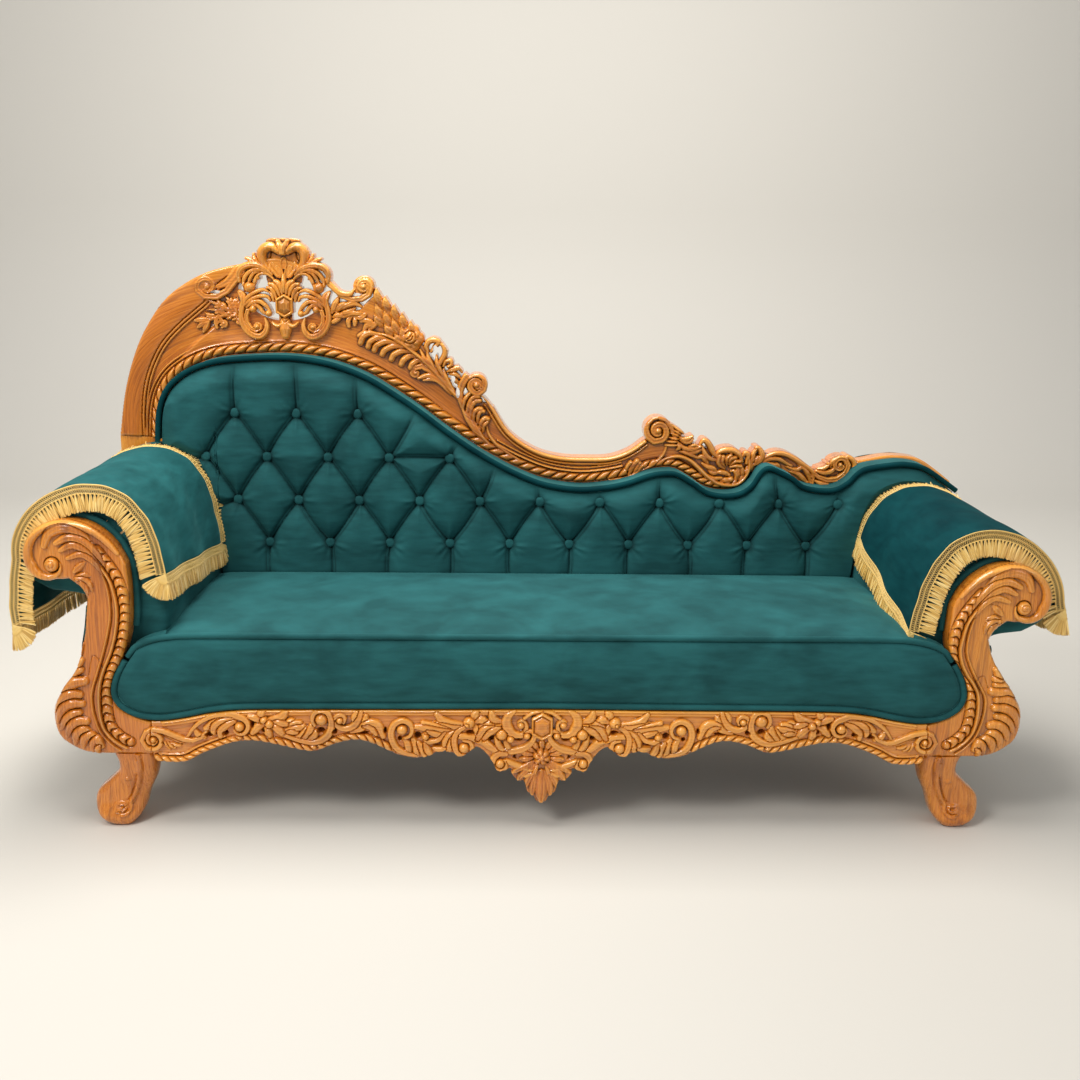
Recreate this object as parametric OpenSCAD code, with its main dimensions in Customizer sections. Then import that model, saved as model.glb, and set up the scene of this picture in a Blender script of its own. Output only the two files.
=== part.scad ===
// Carved hardwood divan: a raised head end, a scroll arm at each end, a deep-buttoned
// velvet back, a piped seat and a fringed velvet throw over each arm.
// X runs along the length, +Y to the back, +Z up. The origin is on the floor, under the middle.

/* [Frame] */
// Length of the wooden frame, over the two arm volutes
frame_length = 2126; // [1960:2:2320]
// Depth from the front of the carving to the heels of the rear legs
frame_depth = 700; // [680:2:760]
// Height of the crest rail at the head end, without its cartouche
crest_height = 1190; // [1110:2:1280]
// Height of the back at the foot end
low_back_height = 724; // [716:2:756]
// Thickness of the boards of the back frame
back_board_t = 45; // [36:1:50]

/* [Seat frame] */
// Height of the underside of the seat rails
rail_bottom = 200; // [194:1:206]
// Height of the seat rails
rail_height = 62; // [58:1:68]
// Thickness of the seat rails
rail_t = 35; // [26:1:40]
// Thickness of the plywood seat deck
deck_t = 12; // [9:1:16]
// Number of bearers under the deck
bearer_count = 3; // [1:1:5]
// Width of a bearer
bearer_w = 44; // [30:1:60]

/* [Arms] */
// Height of the volute's eye on the arm at the head end
head_eye_z = 584; // [566:1:606]
// Height of the volute's eye on the arm at the foot end
foot_eye_z = 505; // [495:1:525]
// Thickness of the carved arm facings
facing_t = 45; // [38:1:50]
// Radius of the volute below its eye, where the scroll starts
volute_r = 33; // [30:1:35]
// How much the scroll's radius grows in a quarter turn
volute_growth = 1.65; // [1.62:0.01:1.68]
// Thickness of the profile boards that shape each arm
former_t = 18; // [12:1:25]
// Number of battens round the roll of an arm
batten_count = 7; // [5:1:9]
// Thickness of the foam wrap on the arms
wrap_t = 24; // [16:1:28]
// Thickness of the velvet, with its lining
velvet_t = 2.5; // [1.5:0.5:4]

/* [Upholstery] */
// Height of the seat at its top front seam
seat_height = 438; // [426:1:450]
// Rise of the seat's crown above its seam
seat_crown = 14; // [6:1:22]
// Diameter of the piping cord
piping_d = 13; // [9:1:15]
// Spacing of the buttons in a row
button_pitch = 148.5; // [144:0.5:150]
// Height of one row of buttons above the next
button_rise = 107; // [104:1:110]
// Diameter of the covered buttons
button_d = 22; // [18:1:26]
// Thickness of the foam slab in the back
back_foam_t = 46; // [36:1:52]
// Thickness of the padded velvet over it, where it is fullest
back_pad_t = 34; // [28:1:42]

/* [Throws] */
// Thickness of the throw cloth
throw_t = 3; // [2:0.5:4]
// Length of the fringe below its heading
fringe_l = 60; // [50:1:66]
// Depth of a throw, from its front edge to its rear edge
throw_w = 470; // [420:5:490]
// Height of the folds in a throw
fold_h = 7; // [3:1:10]

/* [Hidden] */

wood = "peru";
plain_wood = "burlywood";
velvet = "darkslategray";
foam = "khaki";
gold = "goldenrod";
steel = "silver";
gap = 0.3;
fine = 48;

// Levels and depths that the pieces share
half = frame_length / 2;
relief = 15;
front_y = -frame_depth / 2 + relief;
back_y = frame_depth / 2;
rail_top = rail_bottom + rail_height;
deck_top = rail_top + deck_t;
leg_top = rail_bottom - 32;
leg_depth = 90;
facing_back_y = front_y + facing_t;
leg_back_y = front_y + leg_depth;
heel_splay = 36;
post_back_y = back_y - heel_splay;
post_front_y = post_back_y - back_board_t;
ply_t = 6;
ply_front_y = post_front_y - ply_t;
foam_front_y = ply_front_y - back_foam_t;
apron_t = 32;
border_t = 14;
border_back_y = front_y + border_t;
foam_top = seat_height - 38;
cord_r = piping_d / 2;

// Where the arms stand, measured to the +X side
eye_x = half - volute_r * volute_growth;
inner_x = eye_x - volute_r * pow(volute_growth, 3);
wall_x = inner_x - 70;
outer_x = inner_x + 86;
stem_x = inner_x - 33;
side_rail_x = outer_x - velvet_t - gap;

// A smooth line through points, n steps to a span
function blend4(a, b, c, d, t) = 0.5 * (2 * b + (c - a) * t
    + (2 * a - 5 * b + 4 * c - d) * t * t + (3 * b - a - 3 * c + d) * t * t * t);
function smooth(p, n) = [
    for (i = [0:len(p) - 2], k = [0:n - 1])
        blend4(p[max(i - 1, 0)], p[i], p[i + 1], p[min(i + 2, len(p) - 1)], k / n),
    p[len(p) - 1]];
function part_of(p, from, to) = [for (i = [from:to]) p[i]];
function flipped(p) = [for (i = [len(p) - 1:-1:0]) p[i]];
function mirrored(p) = [for (q = p) [-q[0], q[1]]];
function moved(p, x, z) = [for (q = p) [q[0] + x, q[1] + z]];
function unit(v) = v / norm(v);
function along(p, i) = unit(p[min(i + 1, len(p) - 1)] - p[max(i - 1, 0)]);
function left_of(v) = [-v[1], v[0]];
// The line beside a line, d to its left, or by the ith value of w where a list is given
function beside(p, d) = [for (i = [0:len(p) - 1])
    p[i] + (is_list(d) ? d[i] : d) * left_of(along(p, i))];
// The strip between two lines that run the same way
function strip(p, q) = concat(p, flipped(q));
// A line from the middle outwards, with its mirror image, as one closed outline
function both(p) = concat(p, [for (i = [len(p) - 2:-1:1]) [-p[i][0], p[i][1]]]);

// A flat shape in X and Z, stood up, from y to y + t
module upright(y, t) {
    translate([0, y + t, 0]) rotate([90, 0, 0]) linear_extrude(t) children();
}

module block(x0, x1, y0, y1, z0, z1) {
    translate([x0, y0, z0]) cube([x1 - x0, y1 - y0, z1 - z0]);
}

// A rod along Y
module rod(x, z, y0, y1, r) {
    translate([x, y1, z]) rotate([90, 0, 0]) cylinder(r = r, h = y1 - y0, $fn = fine);
}

module sided(side) {
    mirror([side < 0 ? 1 : 0, 0, 0]) children();
}

// Triangles of a grid of points that starts at number from
function grid_faces(rows, cols, from, turn) = [for (i = [0:rows - 2], j = [0:cols - 2])
    let (a = from + i * cols + j, b = a + 1, c = a + cols, d = c + 1)
        each turn ? [[a, b, c], [b, d, c]] : [[a, c, b], [b, c, d]]];
function row_faces(n, a, b, turn) = [for (j = [0:n - 2])
    each turn ? [[a + j, b + j, a + j + 1], [a + j + 1, b + j, b + j + 1]]
        : [[a + j, a + j + 1, b + j], [a + j + 1, b + j + 1, b + j]]];
function end_fan(rows, cols, j, low, far, turn) = concat(
    [for (i = [0:rows - 2]) let (a = i * cols + j, b = a + cols) turn ? [low, b, a] : [low, a, b]],
    [let (a = (rows - 1) * cols + j) turn ? [low, far, a] : [low, a, far]]);

// A padded form: a grid of surface points over a flat base, which needs only the base points
// under the first row and under the last row
module padded(surface, base_first, base_last, turn = false) {
    rows = len(surface);
    cols = len(surface[0]);
    n = rows * cols;
    points = concat([for (r = surface) each r], base_first, base_last);
    polyhedron(points, concat(
        grid_faces(rows, cols, 0, turn),
        row_faces(cols, 0, n, turn),
        row_faces(cols, n, n + cols, turn),
        row_faces(cols, n + cols, (rows - 1) * cols, turn),
        end_fan(rows, cols, 0, n, n + cols, !turn),
        end_fan(rows, cols, cols - 1, n + cols - 1, n + 2 * cols - 1, turn)), convexity = 10);
}

// A sheet between two grids of points
function rim(rows, cols) = concat([for (j = [0:cols - 1]) j],
    [for (i = [1:rows - 1]) i * cols + cols - 1],
    [for (j = [cols - 2:-1:0]) (rows - 1) * cols + j],
    [for (i = [rows - 2:-1:1]) i * cols]);
module sheet(front, rear, turn = false) {
    rows = len(front);
    cols = len(front[0]);
    n = rows * cols;
    r = rim(rows, cols);
    polyhedron(concat([for (q = front) each q], [for (q = rear) each q]), concat(
        grid_faces(rows, cols, 0, turn), grid_faces(rows, cols, n, !turn),
        [for (i = [0:len(r) - 1]) let (a = r[i], b = r[(i + 1) % len(r)])
            each turn ? [[a, a + n, b], [b, a + n, b + n]]
                : [[a, b, a + n], [b, b + n, a + n]]]), convexity = 10);
}

// A round cord along a line in X and Z, at depth y
module cord(p, y, r, sides = 8) {
    last = (len(p) - 1) * sides;
    polyhedron([for (i = [0:len(p) - 1], k = [0:sides - 1])
        let (out = p[i] + r * cos(360 * k / sides) * left_of(along(p, i)))
            [out[0], y + r * sin(360 * k / sides), out[1]]],
        concat([for (i = [0:len(p) - 2], k = [0:sides - 1])
            let (a = i * sides + k, b = i * sides + (k + 1) % sides)
                each [[a, a + sides, b], [b, a + sides, b + sides]]],
            [for (k = [1:sides - 2]) [0, k, k + 1]],
            [for (k = [1:sides - 2]) [last, last + k + 1, last + k]]), convexity = 10);
}

// Half of the line between the seat's front panel and the wood, from the middle outwards
panel_low = [[0, rail_top + 12], [half * 0.24, rail_top + 10], [half * 0.48, rail_top + 9],
    [half * 0.6, rail_top + 7], [half * 0.66, rail_top], [half * 0.71, rail_top - 11],
    [half * 0.755, rail_top - 18]];
panel_corner = [[inner_x - 10, rail_top - 14], [inner_x + 24, rail_top + 2],
    [inner_x + 42, rail_top + 22], [inner_x + 48, rail_top + 48], [inner_x + 39, rail_top + 84],
    [inner_x + 20, rail_top + 118]];
panel_half = smooth(concat(panel_low, panel_corner), 3);
// Half of the seat's top front seam, from its end to the middle
seam_end_x = inner_x - 6;
seam_half = smooth([[seam_end_x, seat_height - 26], [inner_x - 36, seat_height - 12],
    [inner_x - 80, seat_height - 3], [inner_x - 150, seat_height], [inner_x / 2, seat_height],
    [0, seat_height]], 3);
seam_table = flipped(seam_half);

// The carved apron's lower edge: distance from the middle, and drop below the seat rails
apron_steps = [[0, 134], [17, 115], [29, 87], [65, 62], [93, 65], [108, 40], [139, 12],
    [173, 32], [209, 20], [262, 37], [311, 29], [365, 4], [400, -2], [440, 7], [480, 23],
    [510, 22], [562, 10], [610, 1], [657, 5], [718, 28], [760, 49]];
steps_half = 1063;
apron_half = smooth(concat([for (q = apron_steps) [q[0] * half / steps_half, rail_bottom - q[1]]],
    [[stem_x - 12, rail_bottom - 48], [stem_x - gap, rail_bottom - 40]]), 3);
apron_top = smooth(concat(panel_low, [[stem_x - gap, rail_top - 18]]), 3);

module front_apron() {
    edge = concat(apron_half, flipped(moved(apron_top, 0, -1)));
    color(wood) upright(front_y, apron_t - gap) polygon(both(edge));
}

// The carved drop at the middle of the apron
drop_half = [[0, rail_bottom - 126], [22, rail_bottom - 96], [50, rail_bottom - 66],
    [58, rail_bottom - 30], [44, rail_bottom + 4], [52, rail_bottom + 30],
    [30, rail_bottom + 56], [0, rail_bottom + 64]];
module apron_cartouche() {
    color(wood) upright(front_y - relief, relief) polygon(both(smooth(drop_half, 4)));
}

// Front legs: a cabriole shape from the front, and a tapered one from the side
leg_out = [[inner_x + 58, leg_top], [inner_x + 49, leg_top - 24], [inner_x + 51, leg_top - 46],
    [inner_x + 74, 96], [inner_x + 100, 70], [inner_x + 105, 44], [inner_x + 97, 20],
    [inner_x + 78, 4], [inner_x + 62, 0]];
leg_in = [[inner_x + 22, 0], [inner_x + 3, 26], [inner_x - 10, 66], [inner_x - 26, 101],
    [inner_x - 33, leg_top - 32], [inner_x - 33, leg_top]];
leg_side = [[0, leg_top], [6, 120], [12, 82], [10, 50], [0, 24], [0, 12], [8, 0],
    [66, 0], [74, 40], [84, 100], [leg_depth, leg_top]];

module front_leg(side) {
    color(wood) sided(side) difference() {
        union() {
            intersection() {
                upright(front_y, leg_depth) polygon(concat(smooth(leg_out, 4), smooth(leg_in, 4)));
                translate([0, front_y, 0]) rotate([90, 0, 90])
                    linear_extrude(2 * half) polygon(smooth(leg_side, 3));
            }
            block(stem_x, side_rail_x, facing_back_y + gap, leg_back_y, leg_top, rail_top);
        }
        corner_holes();
    }
}

rear_leg_w = 58;
rear_leg_x = side_rail_x - rear_leg_w;
heel_depth = 44;
module rear_leg(side) {
    color(wood) sided(side) translate([rear_leg_x, 0, 0]) rotate([90, 0, 90])
        linear_extrude(rear_leg_w) polygon(concat(
            [[post_front_y, rail_bottom], [post_front_y, rail_bottom - 70],
                [back_y - heel_depth, 0], [back_y, 0]],
            smooth([[back_y, 0.1], [back_y - 14, 45], [post_back_y + 3, rail_bottom - 80],
                [post_back_y, rail_bottom]], 4)));
}

// Seat frame
module rail_along(y0) {
    block(-stem_x + gap, stem_x - gap, y0, y0 + rail_t, rail_bottom, rail_top);
}
front_rail_y = front_y + apron_t;
rear_rail_y = post_front_y - rail_t;
side_in_x = side_rail_x - rail_t;

module seat_front_rail() {
    color(plain_wood) rail_along(front_rail_y);
}

module seat_rear_rail() {
    color(plain_wood) difference() {
        block(-side_in_x + gap, side_in_x - gap, rear_rail_y, post_front_y - gap,
            rail_bottom, rail_top);
        back_bolt_holes();
        sided(1) corner_holes();
        sided(-1) corner_holes();
    }
}

module seat_side_rail(side) {
    color(plain_wood) sided(side) difference() {
        block(side_in_x, side_rail_x, leg_back_y + gap, post_front_y - gap, rail_bottom, rail_top);
        corner_holes();
    }
}

module seat_bearers() {
    span = 2 * side_in_x / (bearer_count + 1);
    color(plain_wood) for (i = [1:bearer_count]) translate([i * span - side_in_x, 0, 0])
        block(-bearer_w / 2, bearer_w / 2, front_rail_y + rail_t + gap, rear_rail_y - gap,
            rail_bottom + gap, rail_top - gap);
}

// Glued blocks in the corners of the seat frame, with two screws each
block_leg = 70;
screw_r = 2.5;
screw_in = 22;
screw_out = 24;
head_r = 4.8;
screw_off = 20;
module at_corners() {
    for (f = [0, 1]) translate([side_in_x - gap, f == 0 ? leg_back_y + gap : rear_rail_y - gap, 0])
        mirror([0, f, 0]) mirror([1, 0, 0]) children();
}
// The two screws of a corner run from the block into the rail or the leg
module corner_screw_pair(play, head_l) {
    for (k = [0, 1]) mirror([k, -k, 0])
        translate([-screw_in, screw_off, rail_bottom + rail_height * (k == 0 ? 0.35 : 0.65)])
            rotate([0, 90, 0]) {
                cylinder(r = screw_r + play, h = screw_in + screw_out, $fn = fine);
                translate([0, 0, screw_in + screw_out]) cylinder(r = head_r + play, h = head_l, $fn = fine);
            }
}
module corner_holes() {
    at_corners() corner_screw_pair(gap, block_leg);
}
module corner_blocks() {
    color(plain_wood) for (s = [-1, 1]) sided(s) difference() {
        at_corners() translate([0, 0, rail_bottom + gap]) linear_extrude(rail_height - 2 * gap)
            polygon([[0, 0], [block_leg, 0], [0, block_leg]]);
        corner_holes();
    }
}
module corner_screws() {
    color(steel) for (s = [-1, 1]) sided(s) at_corners() corner_screw_pair(0, 3);
}

module seat_deck() {
    color(plain_wood) union() {
        block(-inner_x - 12, inner_x + 12, front_rail_y + gap, ply_front_y - gap, rail_top, deck_top);
        block(-side_rail_x, side_rail_x, facing_back_y + gap, ply_front_y - gap, rail_top, deck_top);
    }
}

module seat_foam() {
    ear_x = inner_x - 10;
    color(foam) union() {
        block(-wall_x + 1, wall_x - 1, border_back_y + gap, foam_front_y - gap, deck_top + gap, foam_top);
        block(-ear_x, ear_x, border_back_y + gap, facing_back_y - gap, deck_top + gap, foam_top);
    }
}

// The seat's crowned cover, wider in front of the arms than between them
seat_back_y = foam_front_y - back_pad_t - 2;
seat_cols = concat([-seam_end_x, -(seam_end_x + wall_x) / 2, -wall_x, -wall_x + 2],
    [for (i = [1:31]) (wall_x - 2) * (i / 16 - 1)],
    [wall_x - 2, wall_x, (seam_end_x + wall_x) / 2, seam_end_x]);
seat_rows = [0, 0.015, 0.05, 0.12, 0.25, 0.4, 0.55, 0.7, 0.84, 0.94, 0.985, 1];
function seat_y(x, v) = border_back_y + gap
    + v * ((abs(x) < wall_x - 1 ? seat_back_y : facing_back_y - gap) - border_back_y - gap);
function arch(v) = pow(sin(180 * v), 0.6);
function seat_z(x, v) = lookup(abs(x), seam_table) - cord_r
    + (cord_r + seat_crown * (1 - pow(abs(x) / seam_end_x, 4))) * arch(v);
module seat_cover() {
    color(velvet) padded(
        [for (v = seat_rows) [for (x = seat_cols) [x, seat_y(x, v), seat_z(x, v)]]],
        [for (x = seat_cols) [x, seat_y(x, 0), foam_top + gap]],
        [for (x = seat_cols) [x, seat_y(x, 1), foam_top + gap]]);
}

module seat_front_border() {
    edge = concat(beside(panel_half, piping_d + 1 + gap), beside(seam_half, piping_d + gap));
    color(velvet) upright(front_y, border_t) polygon(both(edge));
}

module seat_top_piping() {
    line = beside(seam_half, cord_r);
    whole = concat(mirrored(part_of(line, 0, len(line) - 2)), flipped(line));
    color(velvet) cord(whole, border_back_y - cord_r, cord_r);
}

module seat_bottom_piping() {
    line = beside(panel_half, cord_r + 1);
    whole = concat(flipped(mirrored(part_of(line, 1, len(line) - 1))), line);
    color(velvet) cord(whole, front_y + cord_r - 2, cord_r);
}

module seat_dust_cover() {
    color("black") union() {
        block(-stem_x + 2, stem_x - 2, front_rail_y, post_front_y - 4, rail_bottom - 1.2, rail_bottom - gap);
        block(-side_in_x, side_in_x, leg_back_y + 1, post_front_y - 4, rail_bottom - 1.2, rail_bottom - gap);
    }
}

// Arms, drawn for the +X side at a given height of the volute's eye
function spiral(e, from = 0, to = 270, step = 15) = [for (a = [from:step:to])
    let (r = volute_r * pow(volute_growth, a / 90)) [eye_x + r * sin(a), e - r * cos(a)]];
knee = [[inner_x + 110, rail_top + 104], [inner_x + 142, rail_top + 58],
    [inner_x + 164, rail_top + 18], [inner_x + 170, rail_top - 16], [inner_x + 162, rail_top - 52],
    [inner_x + 140, rail_top - 74], [inner_x + 108, leg_top + 4], [inner_x + 66, leg_top]];
function facing_in(e) = smooth(concat([[inner_x, e], [inner_x - 3, e - 60],
    [inner_x + 2, (e + rail_top + 44) / 2]], flipped(panel_corner)), 3);
function facing_out(e) = smooth(concat([[inner_x + 92, (e + rail_top + 34) / 2]], knee), 3);
function facing_neck(e) = smooth([[inner_x + 83, e - 72], [inner_x + 94, e - 50],
    [inner_x + 117, e - 31]], 3);
function facing_line(e) = concat(spiral(e), part_of(facing_in(e), 1, len(facing_in(e)) - 1),
    [[stem_x, rail_top - 22], [stem_x, leg_top]], flipped(facing_out(e)), facing_neck(e));

eye_r = 13;
module arm_facing(side, e) {
    color(wood) sided(side) difference() {
        union() {
            upright(front_y, facing_t) polygon(facing_line(e));
            rod(eye_x, e, front_y - relief, front_y + 1, eye_r);
        }
        arm_bolt_holes(e);
    }
}

// The padded roll behind a facing: offsets from the eye, towards the seat and up
roll = [[-58, -52], [-80, -28], [-88, 4], [-80, 52], [-50, 104], [4, 144], [68, 160],
    [128, 148], [172, 112], [200, 58], [213, -6]];
roll_n = 3;
function roll_line(e) = moved(mirrored(smooth(roll, roll_n)), eye_x, e);
// The arm's whole section, from the foot of its outer wall to the foot of its inner one
function arm_line(e, inset, foot) = beside(concat([[outer_x, foot], [outer_x, e - 94],
    [outer_x + 22, e - 78], [eye_x + 26, e - 70]], roll_line(e),
    [[wall_x, e - 90], [wall_x, deck_top + gap]]), inset);
arm_front_y = facing_back_y + gap;
arm_back_y = ply_front_y - gap;
arm_l = arm_back_y - arm_front_y;
batten_t = 8;
batten_w = 22;
batten_in = velvet_t + wrap_t + 2;
former_in = batten_in + batten_t + gap;
pad_front_y = arm_front_y + velvet_t + gap;
pad_l = arm_back_y - pad_front_y;

module arm_cover(side, e) {
    foot = rail_bottom + 2;
    color(velvet) sided(side) difference() {
        union() {
            upright(arm_front_y, arm_l)
                polygon(strip(arm_line(e, 0, foot), arm_line(e, velvet_t, foot)));
            upright(arm_front_y, velvet_t) polygon(arm_line(e, 0, deck_top + gap));
        }
        arm_bolt_holes(e);
    }
}

module arm_padding(side, e) {
    color(foam) sided(side) upright(pad_front_y, pad_l)
        polygon(strip(arm_line(e, velvet_t + gap, deck_top + gap),
            arm_line(e, velvet_t + wrap_t, deck_top + gap)));
}

module arm_formers(side, e) {
    color(plain_wood) sided(side) difference() {
        for (y = [pad_front_y, arm_back_y - former_t])
            upright(y, former_t) polygon(arm_line(e, former_in, deck_top + gap));
        arm_bolt_holes(e);
    }
}

module arm_battens(side, e) {
    line = roll_line(e);
    span = (len(line) - 5) / batten_count;
    color(plain_wood) sided(side) for (i = [1:batten_count]) {
        k = 4 + floor(i * span - span / 2);
        out = along(line, k);
        middle = line[k] + (batten_in + batten_t / 2) * left_of(out);
        translate([middle[0], pad_front_y, middle[1]]) rotate([0, -atan2(out[1], out[0]), 0])
            translate([-batten_w / 2, 0, -batten_t / 2]) cube([batten_w, pad_l, batten_t]);
    }
}

module arm_piping(side, e) {
    line = concat(spiral(e, 45, 255), [for (p = facing_in(e)) if (p[1] > seat_height + cord_r) p]);
    color(velvet) sided(side) cord(beside(line, -cord_r - gap), facing_back_y - cord_r, cord_r);
}

// Bolts from the front profile board of each arm into its facing
bolt_r = 4;
bolt_head_r = 8;
bolt_head_t = 5;
bolt_tip_y = facing_back_y - 24;
function arm_bolt_spots(e) = [[inner_x + 24, e - 66], [inner_x + 62, e + 40]];
module arm_bolt_holes(e) {
    for (p = arm_bolt_spots(e)) rod(p[0], p[1], bolt_tip_y - 2, pad_front_y + former_t + 1, bolt_r + gap);
}
module arm_bolts() {
    head_y = pad_front_y + former_t;
    color(steel) for (a = [[-1, head_eye_z], [1, foot_eye_z]]) sided(a[0])
        for (p = arm_bolt_spots(a[1])) {
            rod(p[0], p[1], bolt_tip_y, head_y + gap, bolt_r);
            rod(p[0], p[1], head_y + gap, head_y + gap + bolt_head_t, bolt_head_r);
        }
}

// The carved crest: places along it, from the head end to the foot end, each with
// the inner edge and the outer edge of the wood that shows
crest = [
    [-937, head_eye_z + 168, -1039, head_eye_z + 173], [-931, 818, -1021, 860], [-916, 867, -995, 947],
    [-888, 904, -961, 1020], [-838, 936, -905, 1095], [-777, 955, -822, 1149],
    [-680, 964, -730, 1175], [-608, 965, -620, 1190], [-536, 957, -516, 1132],
    [-476, 941, -475, 1114], [-415, 916, -400, 1125], [-355, 880, -340, 1070],
    [-295, 840, -262, 1002], [-234, 794, -205, 925], [-172, 751, -130, 860],
    [-110, 714, -75, 778], [-48, 683, -10, 733], [15, 660, 52, 716], [90, 649, 115, 713],
    [152, 652, 178, 716], [215, 664, 228, 735], [264, 682, 270, 765], [301, 690, 330, 790],
    [339, 689, 372, 770], [377, 669, 415, 755], [416, 644, 455, 740], [459, 635, 492, 735],
    [499, 641, 515, 720], [528, 662, 527, 735], [550, 697, 548, 742], [571, 706, 580, 740],
    [597, 696, 625, 730], [628, 681, 655, 718], [654, 661, 684, 703], [693, 652, 715, 702],
    [736, 653, 758, 725], [767, 671, 790, 715], [803, 704, 810, 712], [877, 718, 873, 724],
    [914, 719, 924, 724], [953, 711, 963, 716], [993, 687, 1003, 691], [1039, 655, 1044, 660]];
crest_half = 1063;
crest_low = 724;
crest_high = 1190;
last_carved = 36;
function lifted(z) = low_back_height + (z - crest_low)
    * (z > crest_low ? (crest_height - low_back_height) / (crest_high - crest_low) : 1);
function crest_point(q, k) = [q[k] * half / crest_half, lifted(q[k + 1])];
// How the edge turns from facing sideways at the head end to facing down
function turned(x) = 90 * min(1, max(0, (x + 937) / 100));
function crest_inner(lap) = smooth([for (q = crest)
    crest_point(q, 0) + lap * [cos(turned(q[0])), -sin(turned(q[0]))]], 3);
function crest_band(share, last) = smooth([for (i = [0:last])
    crest_point(crest[i], 0) * (1 - share) + crest_point(crest[i], 2) * share], 3);
wood_lap = 28;
post_x = half - 23;
foot_post_in = half - 140;
head_post_in = -crest_inner(wood_lap)[0][0];
crest_scrolls = [[-155, 893, 27], [295, 786, 32]];

module crest_rail() {
    last = len(crest) - 1;
    color(wood) union() {
        upright(post_front_y, back_board_t)
            polygon(strip(crest_inner(wood_lap), crest_band(1, last)));
        upright(post_front_y - 7, 7) polygon(strip(crest_band(0.03, last_carved),
            crest_band(0.2, last_carved)));
        upright(post_front_y - 7, 7) polygon(strip(crest_band(0.84, last_carved),
            crest_band(1, last_carved)));
        for (q = crest_scrolls)
            rod(q[0] * half / crest_half, lifted(q[1]), post_front_y - relief, post_back_y, q[2]);
    }
}

// The pierced shell at the top of the crest
cartouche_x = -620;
cartouche_z = 1106;
shell_out = [[0, 112], [30, 104], [58, 80], [88, 66], [102, 30], [94, -6], [104, -34], [84, -62],
    [46, -80], [20, -104], [0, -110]];
shell_in = [[0, 56], [22, 50], [36, 26], [30, 2], [0, -14]];
module crest_cartouche() {
    color(wood) translate([cartouche_x * half / crest_half, 0, lifted(cartouche_z)]) difference() {
        upright(post_front_y - relief - 7 - gap, relief) polygon(both(smooth(shell_out, 4)));
        upright(post_front_y - 2 * relief, 2 * relief) polygon(both(smooth(shell_in, 4)));
    }
}

function wood_edge(x) = lookup(x, crest_inner(wood_lap));
module back_left_post() {
    top = crest_inner(wood_lap)[0][1];
    outer_top = crest_band(1, 1)[0][1];
    color(wood) upright(post_front_y, back_board_t) polygon([[-post_x, rail_top + gap],
        [-head_post_in, rail_top + gap], [-head_post_in, top - gap],
        [crest_band(1, 1)[0][0], outer_top - gap]]);
}
module back_right_post() {
    top = concat([[foot_post_in, wood_edge(foot_post_in)]],
        [for (p = crest_inner(wood_lap)) if (p[0] > foot_post_in && p[0] < post_x) p],
        [[post_x, wood_edge(post_x)]]);
    color(wood) upright(post_front_y, back_board_t) polygon(concat(
        [[post_x, rail_top + gap], [foot_post_in, rail_top + gap]], moved(top, 0, -gap)));
}
back_bolt_xs = [-0.66, -0.28, 0.28, 0.66] * half;
back_bolt_z = rail_bottom + rail_height / 2;
sink = 8;
module back_bolt_holes() {
    for (x = back_bolt_xs) {
        rod(x, back_bolt_z, rear_rail_y + 8, post_back_y - sink + 1, bolt_r + gap);
        rod(x, back_bolt_z, post_back_y - sink, post_back_y + 1, bolt_head_r + 1);
    }
}
module back_bolts() {
    color(steel) for (x = back_bolt_xs) {
        rod(x, back_bolt_z, rear_rail_y + 10, post_back_y - sink, bolt_r);
        rod(x, back_bolt_z, post_back_y - sink, post_back_y - sink + bolt_head_t, bolt_head_r);
    }
}
module back_lower_rail() {
    color(wood) difference() {
        block(-post_x, post_x, post_front_y, post_back_y, rail_bottom, rail_top);
        back_bolt_holes();
    }
}
strut_w = 40;
strut_xs = [-0.58, -0.3, 0.02, 0.3, 0.56] * half;
module back_struts() {
    color(plain_wood) for (x = strut_xs) {
        top = min(wood_edge(x - strut_w / 2), wood_edge(x), wood_edge(x + strut_w / 2));
        block(x - strut_w / 2, x + strut_w / 2, post_front_y + gap, post_back_y - gap,
            rail_top + gap, top - 2 * gap);
    }
}

// The back's upholstery stands between the arms' rolls and the crest
head_from = 6 * roll_n + 1;
foot_from = 4 * roll_n + 1;
function roll_side(e, from) = part_of(beside(roll_line(e), -1), from, len(roll_line(e)) - 1);
head_roll = mirrored(roll_side(head_eye_z, head_from));
foot_roll = flipped(roll_side(foot_eye_z, foot_from));
back_end_x = foot_roll[len(foot_roll) - 1][0] - 3;
function back_top(lap) = [for (p = crest_inner(lap)) if (p[0] < back_end_x - lap) p];

module back_ply() {
    top = crest_inner(velvet_t + gap);
    color(plain_wood) upright(ply_front_y, ply_t) polygon(concat(top,
        [[top[len(top) - 1][0], deck_top + gap], [top[0][0], deck_top + gap]]));
}
module back_foam() {
    color(foam) upright(foam_front_y, back_foam_t) polygon(concat(
        flipped(back_top(velvet_t + gap)), head_roll,
        [[-wall_x + 1, head_eye_z - 90], [-wall_x + 1, deck_top + gap],
        [wall_x - 1, deck_top + gap], [wall_x - 1, foot_eye_z - 90]], foot_roll));
}
ring_front_y = foam_front_y - 5;
module back_border() {
    color(velvet) upright(ring_front_y, post_front_y - ring_front_y - gap)
        polygon(strip(crest_inner(0), crest_inner(velvet_t)));
}
module back_piping() {
    color(velvet) cord(crest_inner(cord_r), ring_front_y - cord_r - gap, cord_r);
}

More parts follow.
